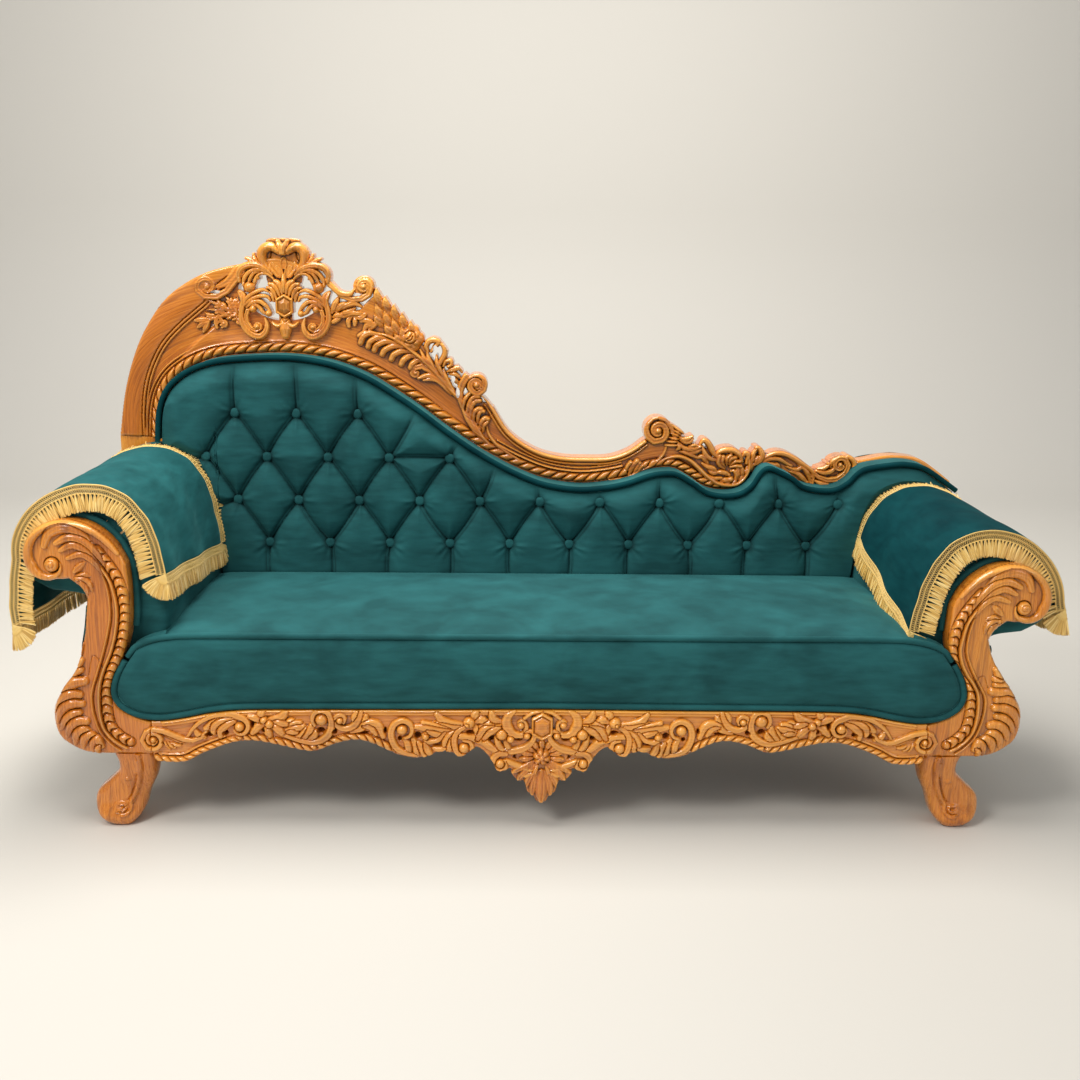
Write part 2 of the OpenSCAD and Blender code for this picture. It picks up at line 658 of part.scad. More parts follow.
// The buttoned cover, with its diamonds drawn in at the buttons
first_button = [-666, 66];
button_rows = [[0, 0, 9], [1, 0, 10], [2, -1, 3], [3, 0, 2]];
function button_at(row, i) = [first_button[0] * half / crest_half
    + (i - (row % 2) / 2) * button_pitch, seat_height + first_button[1] + row * button_rise];
cover_back_y = foam_front_y - gap;
cover_rim_y = ring_front_y - 2;
cover_low = seat_height - 30;
cover_top_table = back_top(piping_d + 2.5);
cover_low_table = concat(moved(head_roll, 3, 3), [[-wall_x + 7, cover_low], [wall_x - 7, cover_low]],
    moved(foot_roll, -3, 3));
cover_x0 = cover_top_table[0][0] + 1;
cover_x1 = back_end_x - piping_d - 5;
function crease(x, z) = let (p = (x - button_at(0, 0)[0]) / button_pitch,
    q = (z - button_at(0, 0)[1]) / button_rise / 2)
        pow(abs(sin(180 * (p + q)) * sin(180 * (p - q))), 0.6);
function cover_edge(d) = sin(90 * min(1, max(0, d / 55)));
function low_at(x) = lookup(x, cover_low_table);
function high_at(x) = max(lookup(x, cover_top_table), low_at(x) + 6);
function cover_y(x, z) = let (edge = min(cover_edge(high_at(x) - z), cover_edge(z - low_at(x) + 20),
    cover_edge(x - cover_x0), cover_edge(cover_x1 - x)))
        cover_rim_y - edge * (back_pad_t - 8) * (0.35 + 0.65 * crease(x, z));
// Columns and levels pass through the buttons
cover_step = button_pitch / 6;
cover_in = wall_x - 4;
cover_cols = concat(
    [for (k = [8:-1:0]) -cover_in + (cover_x0 + cover_in) * pow(k / 8, 2)],
    [for (j = [ceil((-cover_in + 4 - button_at(0, 0)[0]) / cover_step):
        floor((cover_in - 4 - button_at(0, 0)[0]) / cover_step)]) button_at(0, 0)[0] + j * cover_step],
    [for (k = [0:10]) cover_in + (cover_x1 - cover_in) * pow(k / 10, 2)]);
first_level = seat_height + first_button[1];
cover_levels = concat([cover_low, seat_height - 8, seat_height + 24],
    [for (k = [0:7]) first_level + k * button_rise / 2],
    [first_level + 3.9 * button_rise, crest_height]);
function cover_z(x, k) = let (n = len(cover_levels) - 1,
    step = min(3, (high_at(x) - low_at(x)) / n))
        min(max(cover_levels[k], low_at(x) + k * step), high_at(x) - (n - k) * step);
module back_cover() {
    color(velvet) padded([for (k = [0:len(cover_levels) - 1]) [for (x = cover_cols)
            [x, cover_y(x, cover_z(x, k)), cover_z(x, k)]]],
        [for (x = cover_cols) [x, cover_back_y, low_at(x)]],
        [for (x = cover_cols) [x, cover_back_y, high_at(x)]], turn = true);
}
module back_buttons() {
    r = button_d / 2;
    color(velvet) for (row = button_rows, i = [row[1]:row[2]]) {
        b = button_at(row[0], i);
        pit = cover_y(b[0], b[1]);
        seat_y = pit - (pit - cover_y(b[0] + cover_step, b[1])) * r / cover_step - 2 * gap;
        rod(b[0], b[1], seat_y - 6, seat_y, r);
        rod(b[0], b[1], seat_y - 9, seat_y - 6, r - 4);
    }
}
module back_outer_cover() {
    top = crest_inner(-6);
    color(velvet) upright(post_back_y + gap, velvet_t) polygon(concat(part_of(top, 2, len(top) - 3),
        [[post_x - 12, rail_top], [-head_post_in - 40, rail_top]]));
}

// A throw lies over the roll and hangs down on both sides
function throw_path(e, in_drop, out_drop) = concat(
    [[wall_x - 1, e - in_drop], [wall_x, e - in_drop / 2 - 10]],
    flipped(part_of(roll_line(e), 2 * roll_n, len(roll_line(e)) - 1)),
    [[eye_x + 96, e - 50], [eye_x + 104, e - out_drop]]);
throw_rows = 12;
fringe_t = 4;
throw_front_y = facing_back_y - piping_d - fringe_t - gap;
function fold(v, i, n) = fold_h * (0.5 + 0.5 * cos(360 * (2.5 * v + 0.7 * i / n)))
    * (0.25 + 0.75 * pow(abs(2 * i / n - 1), 2));
module throw_cloth(side, e, in_drop, out_drop) {
    path = smooth(throw_path(e, in_drop, out_drop), 1);
    n = len(path) - 1;
    function layer(lift) = [for (k = [0:throw_rows]) let (v = k / throw_rows)
        [for (i = [0:n]) let (p = path[i] + (lift + fold(v, i, n)) * left_of(along(path, i)))
            [p[0], throw_front_y + v * throw_w, p[1]]]];
    color(velvet) sided(side) sheet(layer(throw_t + gap), layer(gap));
}

// The fringe hangs from the front edge, over the end of the roll, and from the two ends
module throw_fringe(side, e, in_drop, out_drop) {
    edge = part_of(roll_line(e), 3 * roll_n, len(roll_line(e)) - 1);
    n = len(edge) - 1;
    widths = [for (i = [0:n]) min(fringe_l, 62) * min(1, 0.26 + 1.9 * i / n)];
    in_low = max(e - in_drop - fringe_l, seat_height + seat_crown + 1);
    rear_y = throw_front_y + throw_w;
    in_x = wall_x - 1 - throw_t - gap - fold_h;
    out_x = eye_x + 104;
    color(gold) sided(side) {
        upright(throw_front_y, fringe_t) polygon(strip(edge, beside(edge, widths)));
        block(in_x, in_x + fringe_t + 3, throw_front_y, rear_y, in_low, e - in_drop - gap);
        block(out_x, out_x + fringe_t + 3, throw_front_y, rear_y, e - out_drop - fringe_l,
            e - out_drop - gap);
    }
}
head_drops = [48, 88];
foot_drops = [30, 60];

front_apron();
apron_cartouche();
front_leg(-1);  // front_left_leg
front_leg(1);  // front_right_leg
rear_leg(-1);  // rear_left_leg
rear_leg(1);  // rear_right_leg
seat_front_rail();
seat_rear_rail();
seat_side_rail(-1);  // seat_left_rail
seat_side_rail(1);  // seat_right_rail
seat_bearers();
corner_blocks();
corner_screws();
seat_deck();
seat_foam();
seat_cover();
seat_front_border();
seat_top_piping();
seat_bottom_piping();
seat_dust_cover();
arm_facing(-1, head_eye_z);  // left_arm_facing
arm_facing(1, foot_eye_z);  // right_arm_facing
arm_formers(-1, head_eye_z);  // left_arm_formers
arm_formers(1, foot_eye_z);  // right_arm_formers
arm_battens(-1, head_eye_z);  // left_arm_battens
arm_battens(1, foot_eye_z);  // right_arm_battens
arm_padding(-1, head_eye_z);  // left_arm_padding
arm_padding(1, foot_eye_z);  // right_arm_padding
arm_cover(-1, head_eye_z);  // left_arm_cover
arm_cover(1, foot_eye_z);  // right_arm_cover
arm_piping(-1, head_eye_z);  // left_arm_piping
arm_piping(1, foot_eye_z);  // right_arm_piping
arm_bolts();
back_left_post();
back_right_post();
back_lower_rail();
back_struts();
back_bolts();
crest_rail();
crest_cartouche();
back_ply();
back_foam();
back_border();
back_cover();
back_buttons();
back_piping();
back_outer_cover();
throw_cloth(-1, head_eye_z, head_drops[0], head_drops[1]);  // left_throw
throw_cloth(1, foot_eye_z, foot_drops[0], foot_drops[1]);  // right_throw
throw_fringe(-1, head_eye_z, head_drops[0], head_drops[1]);  // left_throw_fringe
throw_fringe(1, foot_eye_z, foot_drops[0], foot_drops[1]);  // right_throw_fringe
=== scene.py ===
"""Looks of a carved divan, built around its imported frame.

Objects are in metres. Lists of points are in millimetres, in the frame's own X and Z.
"""

import math

import bmesh
import bpy
import numpy as np
from mathutils import Matrix, Vector


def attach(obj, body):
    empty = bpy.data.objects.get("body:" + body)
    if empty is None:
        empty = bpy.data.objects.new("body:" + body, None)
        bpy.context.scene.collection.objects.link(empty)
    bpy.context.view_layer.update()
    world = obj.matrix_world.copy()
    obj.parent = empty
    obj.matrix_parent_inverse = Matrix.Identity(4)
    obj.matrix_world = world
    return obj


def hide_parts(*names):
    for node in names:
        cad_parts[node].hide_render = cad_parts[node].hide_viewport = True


bl_info = {
    "name": "Carved scroll-arm divan",
    "version": (1, 0, 0),
    "blender": (4, 5, 0),
    "location": "3D View > Sidebar > Divan",
    "description": "Carved teak, buttoned velvet and fringed throws on the divan's packed frame",
    "category": "Object",
}

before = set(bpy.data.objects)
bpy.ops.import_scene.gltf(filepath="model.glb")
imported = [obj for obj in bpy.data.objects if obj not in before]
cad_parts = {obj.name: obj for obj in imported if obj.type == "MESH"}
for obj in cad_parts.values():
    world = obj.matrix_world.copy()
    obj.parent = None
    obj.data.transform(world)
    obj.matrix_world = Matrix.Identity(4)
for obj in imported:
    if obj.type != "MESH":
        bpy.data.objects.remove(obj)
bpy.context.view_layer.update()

# sizes that the frame sets, in millimetres
# half the length over the arms' volutes, the height of each volute's eye, and its spiral
HALF = 1063.0
HEAD_EYE = 584.0
FOOT_EYE = 505.0
VOLUTE_R = 33.0
GROWTH = 1.65
# heights of the rail, the front legs and the seat's seam
RAIL_BOTTOM = 200.0
RAIL_TOP = 262.0
LEG_TOP = 168.0
SEAT_Z = 438.0
# places along X on an arm: its eye, the edges of its facing and of its padding, and the seam
EYE_X = HALF - VOLUTE_R * GROWTH
INNER_X = EYE_X - VOLUTE_R * GROWTH**3
WALL_X = INNER_X - 70
OUTER_X = INNER_X + 86
STEM_X = INNER_X - 33
SEAM_X = INNER_X - 6
# depths along Y, from the front of the facings to the rear of the back
FRONT_Y = -335.0
PANEL_BACK = -321.0
THROW_Y = -307.3
APRON_BACK = -303.3
FACING_BACK = -290.0
CUSHION_REAR = 181.0
BUTTON_Y = 203.5
RING_Y = 212.0
BACK_PLY_FACE = 216.5
CARTOUCHE_FACE = 262.0
ARM_REAR = 262.7
CREST_FACE = 266.0
CREST_Y = 269.0
CARTOUCHE_BACK = 300.0
CREST_BACK = 314.0
# the deck under the cushion, and the cartouche's middle
DECK_TOP = 400.3
CARTOUCHE_X = -622.0
# the first button of the lowest row, and the steps along a row and from row to row
BUTTON_X = -666.0
BUTTON_Z = 504.0
BUTTON_PITCH = 148.5
BUTTON_RISE = 107.0
# how far below the cloth's edge the three threads of the fringe's heading run, the step from
# bundle to bundle, and the strands in each
HEADING = (0.5, 9.5, 19.0)
BUNDLE_STEP = 9.0
STRANDS = 7
DOWN = np.array([0, 0, -1.0])
# the photograph's viewpoint in metres, with the directions to its right and ahead of it
VIEWPOINT = (-0.0742, -2.8336, 1.25)
VIEW_RIGHT = (0.99966, -0.02231, 0.01372)
VIEW_AHEAD = (0.02491, 0.97156, -0.23546)
FLOOR_REACH = 90.0

# the crest's inner edge (x, z) and the outer edge (x, z) across from it, from the head on
CREST = [
    (-937, 752, -1039, 757), (-931, 818, -1021, 860), (-916, 867, -995, 947),
    (-888, 904, -961, 1020), (-838, 936, -905, 1095), (-777, 955, -822, 1149),
    (-680, 964, -730, 1175), (-608, 965, -620, 1190), (-536, 957, -516, 1132),
    (-476, 941, -475, 1114), (-415, 916, -400, 1125), (-355, 880, -340, 1070),
    (-295, 840, -262, 1002), (-234, 794, -205, 925), (-172, 751, -130, 860),
    (-110, 714, -75, 778), (-48, 683, -10, 733), (15, 660, 52, 716), (90, 649, 115, 713),
    (152, 652, 178, 716), (215, 664, 228, 735), (264, 682, 270, 765), (301, 690, 330, 790),
    (339, 689, 372, 770), (377, 669, 415, 755), (416, 644, 455, 740), (459, 635, 492, 735),
    (499, 641, 515, 720), (528, 662, 527, 735), (550, 697, 548, 742), (571, 706, 580, 740),
    (597, 696, 625, 730), (628, 681, 655, 718), (654, 661, 684, 703), (693, 652, 715, 702),
    (736, 653, 758, 725), (767, 671, 790, 715), (803, 704, 810, 712), (877, 718, 873, 724),
    (914, 719, 924, 724), (953, 711, 963, 716), (993, 687, 1003, 691), (1039, 655, 1044, 660),
]


# lines
def smooth(points, n):
    """A smooth line through points, n steps to a span."""
    p = np.asarray(points, float)
    out = []
    for i in range(len(p) - 1):
        a, b, c, d = p[max(i - 1, 0)], p[i], p[i + 1], p[min(i + 2, len(p) - 1)]
        for t in np.arange(n) / n:
            out.append(0.5 * (2 * b + (c - a) * t + (2 * a - 5 * b + 4 * c - d) * t**2
                              + (3 * b - a - 3 * c + d) * t**3))
    out.append(p[-1])
    return np.array(out)


def lengths(line):
    """How far along a line each of its points is."""
    return np.concatenate([[0], np.cumsum(np.linalg.norm(np.diff(line, axis=0), axis=1))])


def spaced(line, step):
    """The same line with points a step apart."""
    line = np.asarray(line, float)
    s = lengths(line)
    at = np.linspace(0, s[-1], max(2, int(round(s[-1] / step)) + 1))
    return np.stack([np.interp(at, s, line[:, k]) for k in range(line.shape[1])], 1)


def beside(line, d):
    """The line d to the left of a flat line."""
    line = np.asarray(line, float)
    run = np.gradient(line, axis=0)
    run /= np.maximum(np.linalg.norm(run, axis=1, keepdims=True), 1e-9)
    return line + np.asarray(d).reshape(-1, 1) * np.stack([-run[:, 1], run[:, 0]], 1)


def mirrored(line):
    """A flat line at the other end of the divan."""
    return np.asarray(line, float) * [-1, 1]


def both(line):
    """A line from the middle outwards with its mirror image, as one closed outline."""
    line = np.asarray(line, float)
    return np.concatenate([line, mirrored(line[-2:0:-1])])


def curl(tail, centre, turns, hand, shrink=0.42, step=15):
    """A line along the tail that winds into a volute round the centre. Hand 1 turns left."""
    tail, centre = np.asarray(tail, float), np.asarray(centre, float)
    out = tail[-1] - centre
    r, start = np.hypot(*out), math.degrees(math.atan2(out[1], out[0]))
    t = np.arange(step, turns * 360 + 1, step)
    a = np.radians(start + hand * t)
    wind = centre + (r * shrink ** (t / 360))[:, None] * np.stack([np.cos(a), np.sin(a)], 1)
    return np.concatenate([tail, wind])


def spiral(e, start=0, end=270, step=15):
    """The outer edge of an arm's volute round its eye at height e, by angles in degrees."""
    a = np.arange(start, end + 1, step)
    r = VOLUTE_R * GROWTH ** (a / 90)
    return np.stack([EYE_X + r * np.sin(np.radians(a)), e - r * np.cos(np.radians(a))], 1)


PANEL_LOW = [(0, RAIL_TOP + 12), (HALF * 0.24, RAIL_TOP + 10), (HALF * 0.48, RAIL_TOP + 9),
             (HALF * 0.6, RAIL_TOP + 7), (HALF * 0.66, RAIL_TOP), (HALF * 0.71, RAIL_TOP - 11),
             (HALF * 0.755, RAIL_TOP - 18)]
PANEL_CORNER = [(INNER_X - 10, RAIL_TOP - 14), (INNER_X + 24, RAIL_TOP + 2),
                (INNER_X + 42, RAIL_TOP + 22), (INNER_X + 48, RAIL_TOP + 48),
                (INNER_X + 39, RAIL_TOP + 84), (INNER_X + 20, RAIL_TOP + 118)]
PANEL = smooth(PANEL_LOW + PANEL_CORNER, 6)
SEAM = smooth([(INNER_X + 13, SEAT_Z - 50), (INNER_X + 4, SEAT_Z - 37), (SEAM_X, SEAT_Z - 26),
               (INNER_X - 36, SEAT_Z - 12), (INNER_X - 80, SEAT_Z - 3), (INNER_X - 150, SEAT_Z),
               (INNER_X / 2, SEAT_Z), (0, SEAT_Z)], 6)
# the apron's lower edge as (x, how far it hangs below the rail), and its last points as (x, z)
APRON_LOW = [(0, 134), (17, 115), (29, 87), (65, 62), (93, 65), (108, 40), (139, 12), (173, 32),
             (209, 20), (262, 37), (311, 29), (365, 4), (400, -2), (440, 7), (480, 23), (510, 22),
             (562, 10), (610, 1), (657, 5), (718, 28), (760, 49)]
APRON_END = [(815, 152), (827, 160)]
KNEE = [(INNER_X + 110, RAIL_TOP + 104), (INNER_X + 142, RAIL_TOP + 58),
        (INNER_X + 164, RAIL_TOP + 18), (INNER_X + 170, RAIL_TOP - 16),
        (INNER_X + 162, RAIL_TOP - 52), (INNER_X + 140, RAIL_TOP - 74),
        (INNER_X + 108, LEG_TOP + 4), (INNER_X + 66, LEG_TOP)]
# a front leg's edges from the front (x from the arm's inner edge, z) and its inset from the side
LEG_OUT = [(58, 168), (49, 144), (51, 122), (74, 96), (100, 70), (105, 44), (97, 20), (78, 4),
           (62, 0)]
LEG_IN = [(22, 0), (3, 26), (-10, 66), (-26, 101), (-33, 136), (-33, 168)]
LEG_SIDE = [(0, 168), (6, 120), (12, 82), (10, 50), (0, 24), (0, 12), (8, 0)]
# an arm's roll, from the volute's eye inwards and up
ROLL = [(-58, -52), (-80, -28), (-88, 4), (-80, 52), (-50, 104), (4, 144), (68, 160), (128, 148),
        (172, 112), (200, 58), (213, -6)]


def facing_in(e):
    """The edge of an arm's front board beside the seat, from the volute down."""
    return smooth([(INNER_X, e), (INNER_X - 3, e - 60), (INNER_X + 2, (e + RAIL_TOP + 44) / 2)]
                  + PANEL_CORNER[::-1], 4)


def facing_outline(e):
    """The whole outline of an arm's front board."""
    return np.concatenate([
        spiral(e, step=6), facing_in(e)[1:], [(STEM_X, RAIL_TOP - 22), (STEM_X, LEG_TOP)],
        smooth([(INNER_X + 92, (e + RAIL_TOP + 34) / 2)] + KNEE, 4)[::-1],
        smooth([(INNER_X + 83, e - 72), (INNER_X + 94, e - 50), (INNER_X + 117, e - 31)], 4)])


def roll_line(e, n=6):
    """The padded roll of an arm, from its outer underside over the top to its inner side."""
    return smooth([(EYE_X - a, e + b) for a, b in ROLL], n)


def arm_line(e):
    """The section of a padded arm, from its foot outside over the roll to the seat."""
    return np.concatenate([
        [(OUTER_X, RAIL_BOTTOM + 2), (OUTER_X, e - 94), (OUTER_X + 22, e - 78), (EYE_X + 26, e - 70)],
        roll_line(e), [(WALL_X, e - 90), (WALL_X, RAIL_TOP + 12.3)]])


def crest_inner(lap):
    """The inner edge of the wood, or the line lap millimetres inside it. The lap turns from
    sideways to downwards over the first 100 mm."""
    out = []
    for x, z, _, _ in CREST:
        a = math.radians(90 * min(1, max(0, (x - CREST[0][0]) / 100)))
        out.append((x + lap * math.cos(a), z - lap * math.sin(a)))
    return smooth(out, 5)


def crest_outer():
    """The outer edge of the crest's board."""
    return smooth([(x, z) for _, _, x, z in CREST], 5)


# meshes
def mesh_of(name, points, faces, smooth_angle=45):
    """A new object from points in millimetres and arrays of faces with 3 or 4 corners."""
    mesh = bpy.data.meshes.new(name)
    points = np.asarray(points, float) / 1000
    mesh.vertices.add(len(points))
    mesh.vertices.foreach_set("co", points.ravel())
    faces = [np.asarray(f, int) for f in faces if len(f)]
    corners = np.concatenate([f.ravel() for f in faces])
    totals = np.concatenate([np.full(len(f), f.shape[1]) for f in faces])
    mesh.loops.add(len(corners))
    mesh.loops.foreach_set("vertex_index", corners)
    mesh.polygons.add(len(totals))
    mesh.polygons.foreach_set("loop_start", np.concatenate([[0], np.cumsum(totals)[:-1]]))
    mesh.update(calc_edges=True)
    mesh.validate()
    made = bpy.data.objects.new(name, mesh)
    bpy.context.scene.collection.objects.link(made)
    if smooth_angle:
        only(made)
        bpy.ops.object.shade_smooth_by_angle(angle=math.radians(smooth_angle))
    return made


def only(*objects):
    """Selects these objects and nothing else, the first as the active one."""
    for o in bpy.context.selected_objects:
        o.select_set(False)
    for o in objects:
        o.select_set(True)
    if objects:
        bpy.context.view_layer.objects.active = objects[0]


def paint(made, name, values, kind="FLOAT"):
    """Keeps a value at each point of a mesh, which a material reads."""
    data = made.data.attributes.new(name, kind, "POINT").data
    values = np.asarray(values, np.float32)
    data.foreach_set("vector" if kind == "FLOAT_VECTOR" else "value", values.ravel())


def grid_faces(rows, cols, start=0, turn=False):
    """Quads over a grid of points, turned over if asked."""
    i, j = np.meshgrid(np.arange(rows - 1), np.arange(cols - 1), indexing="ij")
    a = (start + i * cols + j).ravel()
    quads = np.stack([a, a + 1, a + cols + 1, a + cols], 1)
    return quads[:, ::-1] if turn else quads


def shell(name, front, rear, turn=False, smooth_angle=45):
    """A closed piece between two grids of points of the same size."""
    rows, cols = front.shape[:2]
    n = rows * cols
    rim = np.concatenate([np.arange(cols), np.arange(1, rows) * cols + cols - 1,
                          (rows - 1) * cols + np.arange(cols - 2, -1, -1),
                          np.arange(rows - 2, 0, -1) * cols])
    after = np.roll(rim, -1)
    wall = np.stack([rim, rim + n, after + n, after], 1)
    return mesh_of(name, np.concatenate([front.reshape(-1, 3), rear.reshape(-1, 3)]),
                   [grid_faces(rows, cols, 0, turn), grid_faces(rows, cols, n, not turn),
                    wall[:, ::-1] if turn else wall], smooth_angle)


def tube_mesh(line, r, sides):
    """Points, quads and the two end faces of a round cord along a line in space."""
    line = np.asarray(line, float)
    n = len(line)
    run = np.gradient(line, axis=0)
    run /= np.maximum(np.linalg.norm(run, axis=1, keepdims=True), 1e-9)
    up = np.cross(run[0], [0.3, 0.5, 0.8])
    frames = []
    for t in run:
        up = up - t * np.dot(up, t)
        up /= np.linalg.norm(up)
        frames.append(up)
    u = np.array(frames)
    v = np.cross(run, u)
    a = 2 * np.pi * np.arange(sides) / sides
    r = np.broadcast_to(r, (n,))
    ring = (u[:, None] * np.cos(a)[None, :, None] + v[:, None] * np.sin(a)[None, :, None])
    points = line[:, None] + r[:, None, None] * ring
    return points.reshape(-1, 3), *ring_faces(n, sides)


def ring_faces(rings, sides):
    """Quads between rings of points, and the two end faces."""
    i, k = np.meshgrid(np.arange(rings - 1), np.arange(sides), indexing="ij")
    a = (i * sides + k).ravel()
    b = (i * sides + (k + 1) % sides).ravel()
    ends = np.array([np.arange(sides)[::-1], (rings - 1) * sides + np.arange(sides)])
    return np.stack([a, b, b + sides, a + sides], 1), ends


def welt(name, line, r, finish, *nodes):
    """A piping cord along a line in space, covered in velvet."""
    points, quads, ends = tube_mesh(line, r, 14)
    settle(mesh_of(name, points, [quads, ends], 60), finish, "velvet", *nodes)


def deep(line, y):
    """A flat line stood at a depth."""
    line = np.asarray(line, float)
    return np.stack([line[:, 0], np.broadcast_to(y, len(line)), line[:, 1]], 1)


# carving
class Relief:
    """A board's carved face: heights above its plane on a fine grid in X and Z."""

    def __init__(self, outline, pitch, reach=30.0):
        line = np.asarray(outline, float)
        self.pitch, self.reach = pitch, float(reach)
        self.low = line.min(0) - 3 * pitch
        self.count = tuple(np.ceil((line.max(0) - self.low) / pitch).astype(int) + 4)
        self.x = self.low[0] + pitch * np.arange(self.count[0])
        self.z = self.low[1] + pitch * np.arange(self.count[1])
        self.h = np.zeros(self.count)
        self.cover = np.full(self.count, -99.0)
        self.stain = np.zeros(self.count)
        self.origin, self.hand, self.cut = np.zeros(2), 1, 0.0
        self.edge = self.signed(line)
        self.grain = None

    def near(self, line, reach):
        """The window round a line, with the distance to it, the way along it and the side of it."""
        line = np.asarray(line, float) * [self.hand, 1] + self.origin
        if len(line) == 1:
            line = np.concatenate([line, line + 0.01])
        p = self.pitch
        first = np.clip(np.floor((line.min(0) - reach - self.low) / p).astype(int), 0, None)
        last = np.ceil((line.max(0) + reach - self.low) / p).astype(int) + 1
        window = (slice(first[0], last[0]), slice(first[1], last[1]))
        x, z = self.x[window[0]], self.z[window[1]]
        best = np.full((len(x), len(z)), float(reach) ** 2)
        way = np.zeros(best.shape)
        side = np.zeros(best.shape)
        s = 0.0
        for a, b in zip(line[:-1], line[1:]):
            run = b - a
            long = math.hypot(*run)
            if long < 1e-6:
                continue
            i0, i1 = np.searchsorted(x, [min(a[0], b[0]) - reach, max(a[0], b[0]) + reach])
            k0, k1 = np.searchsorted(z, [min(a[1], b[1]) - reach, max(a[1], b[1]) + reach])
            if i0 >= i1 or k0 >= k1:
                s += long
                continue
            dx = x[i0:i1, None] - a[0]
            dz = z[None, k0:k1] - a[1]
            t = np.clip((dx * run[0] + dz * run[1]) / long**2, 0, 1)
            ex, ez = dx - t * run[0], dz - t * run[1]
            d2 = ex * ex + ez * ez
            part = (slice(i0, i1), slice(k0, k1))
            nearer = d2 < best[part]
            best[part][nearer] = d2[nearer]
            way[part][nearer] = (s + t * long)[nearer]
            side[part][nearer] = self.hand * np.sign(run[0] * dz - run[1] * dx)[nearer]
            s += long
        return window, np.sqrt(best), way, side, s

    def signed(self, outline):
        """Distance to a closed outline, positive inside it, up to the reach."""
        line = np.concatenate([outline, outline[:1]])
        turns = np.zeros(self.count, int)
        for a, b in zip(line[:-1], line[1:]):
            if a[0] > b[0]:
                a, b = b, a
            i0, i1 = np.clip(np.ceil((np.array([a[0], b[0]]) - self.low[0]) / self.pitch), 0,
                             self.count[0]).astype(int)
            if i1 > i0:
                i = np.arange(i0, i1)
                at = a[1] + (self.x[i] - a[0]) * (b[1] - a[1]) / (b[0] - a[0])
                k = np.clip(np.ceil((at - self.low[1]) / self.pitch), 0, self.count[1] - 1)
                np.add.at(turns, (i, k.astype(int)), 1)
        inside = turns.cumsum(1) % 2 == 1
        far = np.full(self.count, self.reach)
        window, d, _, _, _ = self.near(line, self.reach)
        far[window] = d
        return np.where(inside, far, -far)

    def lay(self, window, height, inside):
        """Lays a form on the board: it shows where it is highest, or cuts into what it covers."""
        h = self.h[window]
        self.h[window] = np.where(inside > 0, np.maximum(h - self.cut, height), h)
        self.cover[window] = np.maximum(self.cover[window], inside)

    def stroke(self, line, widths, top, base=0.0, hollow=0.0, vein=0.0, power=0.5):
        """A carved form along a line: half widths and heights from its start to its end."""
        widths, top = np.atleast_1d(widths).astype(float), np.atleast_1d(top).astype(float)
        window, d, way, _, total = self.near(line, widths.max() + 2)
        u = way / total
        w = np.interp(u, np.linspace(0, 1, len(widths)), widths)
        tops = np.interp(u, np.linspace(0, 1, len(top)), top)
        q = np.clip(d / np.maximum(w, 0.01), 0, 1)
        form = (1 - q * q) ** power
        if hollow:
            form = form * (1 - hollow * np.exp(-((q / 0.45) ** 2)))
        height = base + tops * form
        if vein:
            height = height - vein * np.exp(-((d / 1.7) ** 2)) * (u < 0.93)
        self.lay(window, height, w - d)

    def blades(self, shape, top, base, *ribs, steps=6, **more):
        """Leaf blades of one kind, each given by its half width and the points of its rib."""
        for w, *rib in ribs:
            self.stroke(smooth(rib, steps), w * np.array(shape), top, base, **more)

    def groove(self, line, w, deep_mm):
        """A cut along a line."""
        window, d, _, _, _ = self.near(line, 3 * w)
        self.h[window] -= deep_mm * np.exp(-((d / w) ** 2))

    def sink(self, line, w, deep_mm, soft=3.0):
        """A flat channel along a line, which forms are then laid in."""
        window, d, _, _, _ = self.near(line, w + soft)
        floor = -deep_mm * np.clip((w + soft - d) / soft, 0, 1)
        self.h[window] = np.where(d < w + soft, np.minimum(self.h[window], floor), self.h[window])

    def rope(self, line, wide, pitch, top, base=0.0, slant=0.8, bow=0.0, tilt=0.0):
        """A roped moulding in a sunk channel: plump lobes that lie side by side across it."""
        self.sink(line, wide, -base)
        window, d, way, side, total = self.near(line, wide + 1)
        q = np.clip(d / wide, 0, 1)
        across = (1 + side * q) / 2
        count = max(1, round(total / pitch))
        phase = way / total * count - slant * across**1.5 + bow * (1 - q * q)
        u = 2 * (phase % 1) - 1
        form = (1 - np.abs(u) ** 3) ** 0.6 * (1 - q**2.6) ** 0.6 * (1 + tilt * u)
        self.lay(window, base + top * form, wide - d)

    def dome(self, centre, r, top, base=0.0, power=0.5):
        """A round knob."""
        window, d, _, _, _ = self.near([centre], r + 1)
        self.lay(window, base + top * (1 - np.clip(d / r, 0, 1) ** 2) ** power, r - d)

    def flower(self, centre, r, petals, top, base=0.0, turn=0.0, heart=0.28):
        """A rosette with a round heart."""
        window, d, _, _, _ = self.near([centre], r + 1)
        x = (self.x[window[0]][:, None] - self.origin[0]) * self.hand - centre[0]
        a = np.arctan2(self.z[window[1]][None, :] - self.origin[1] - centre[1], x)
        beat = np.abs(np.cos(petals * (a + math.radians(turn)) / 2))
        w = r * (0.7 + 0.3 * beat**0.5)
        q = np.clip(d / w, 0, 1)
        cup = 0.45 + 0.55 * np.sin(np.pi * np.clip(q, 0.12, 1) ** 0.8) ** 0.7
        height = base + top * cup * (1 - q**6) * (0.6 + 0.4 * beat**0.6)
        self.lay(window, height, w - d)
        self.dome(centre, r * heart, top * 0.95, base)

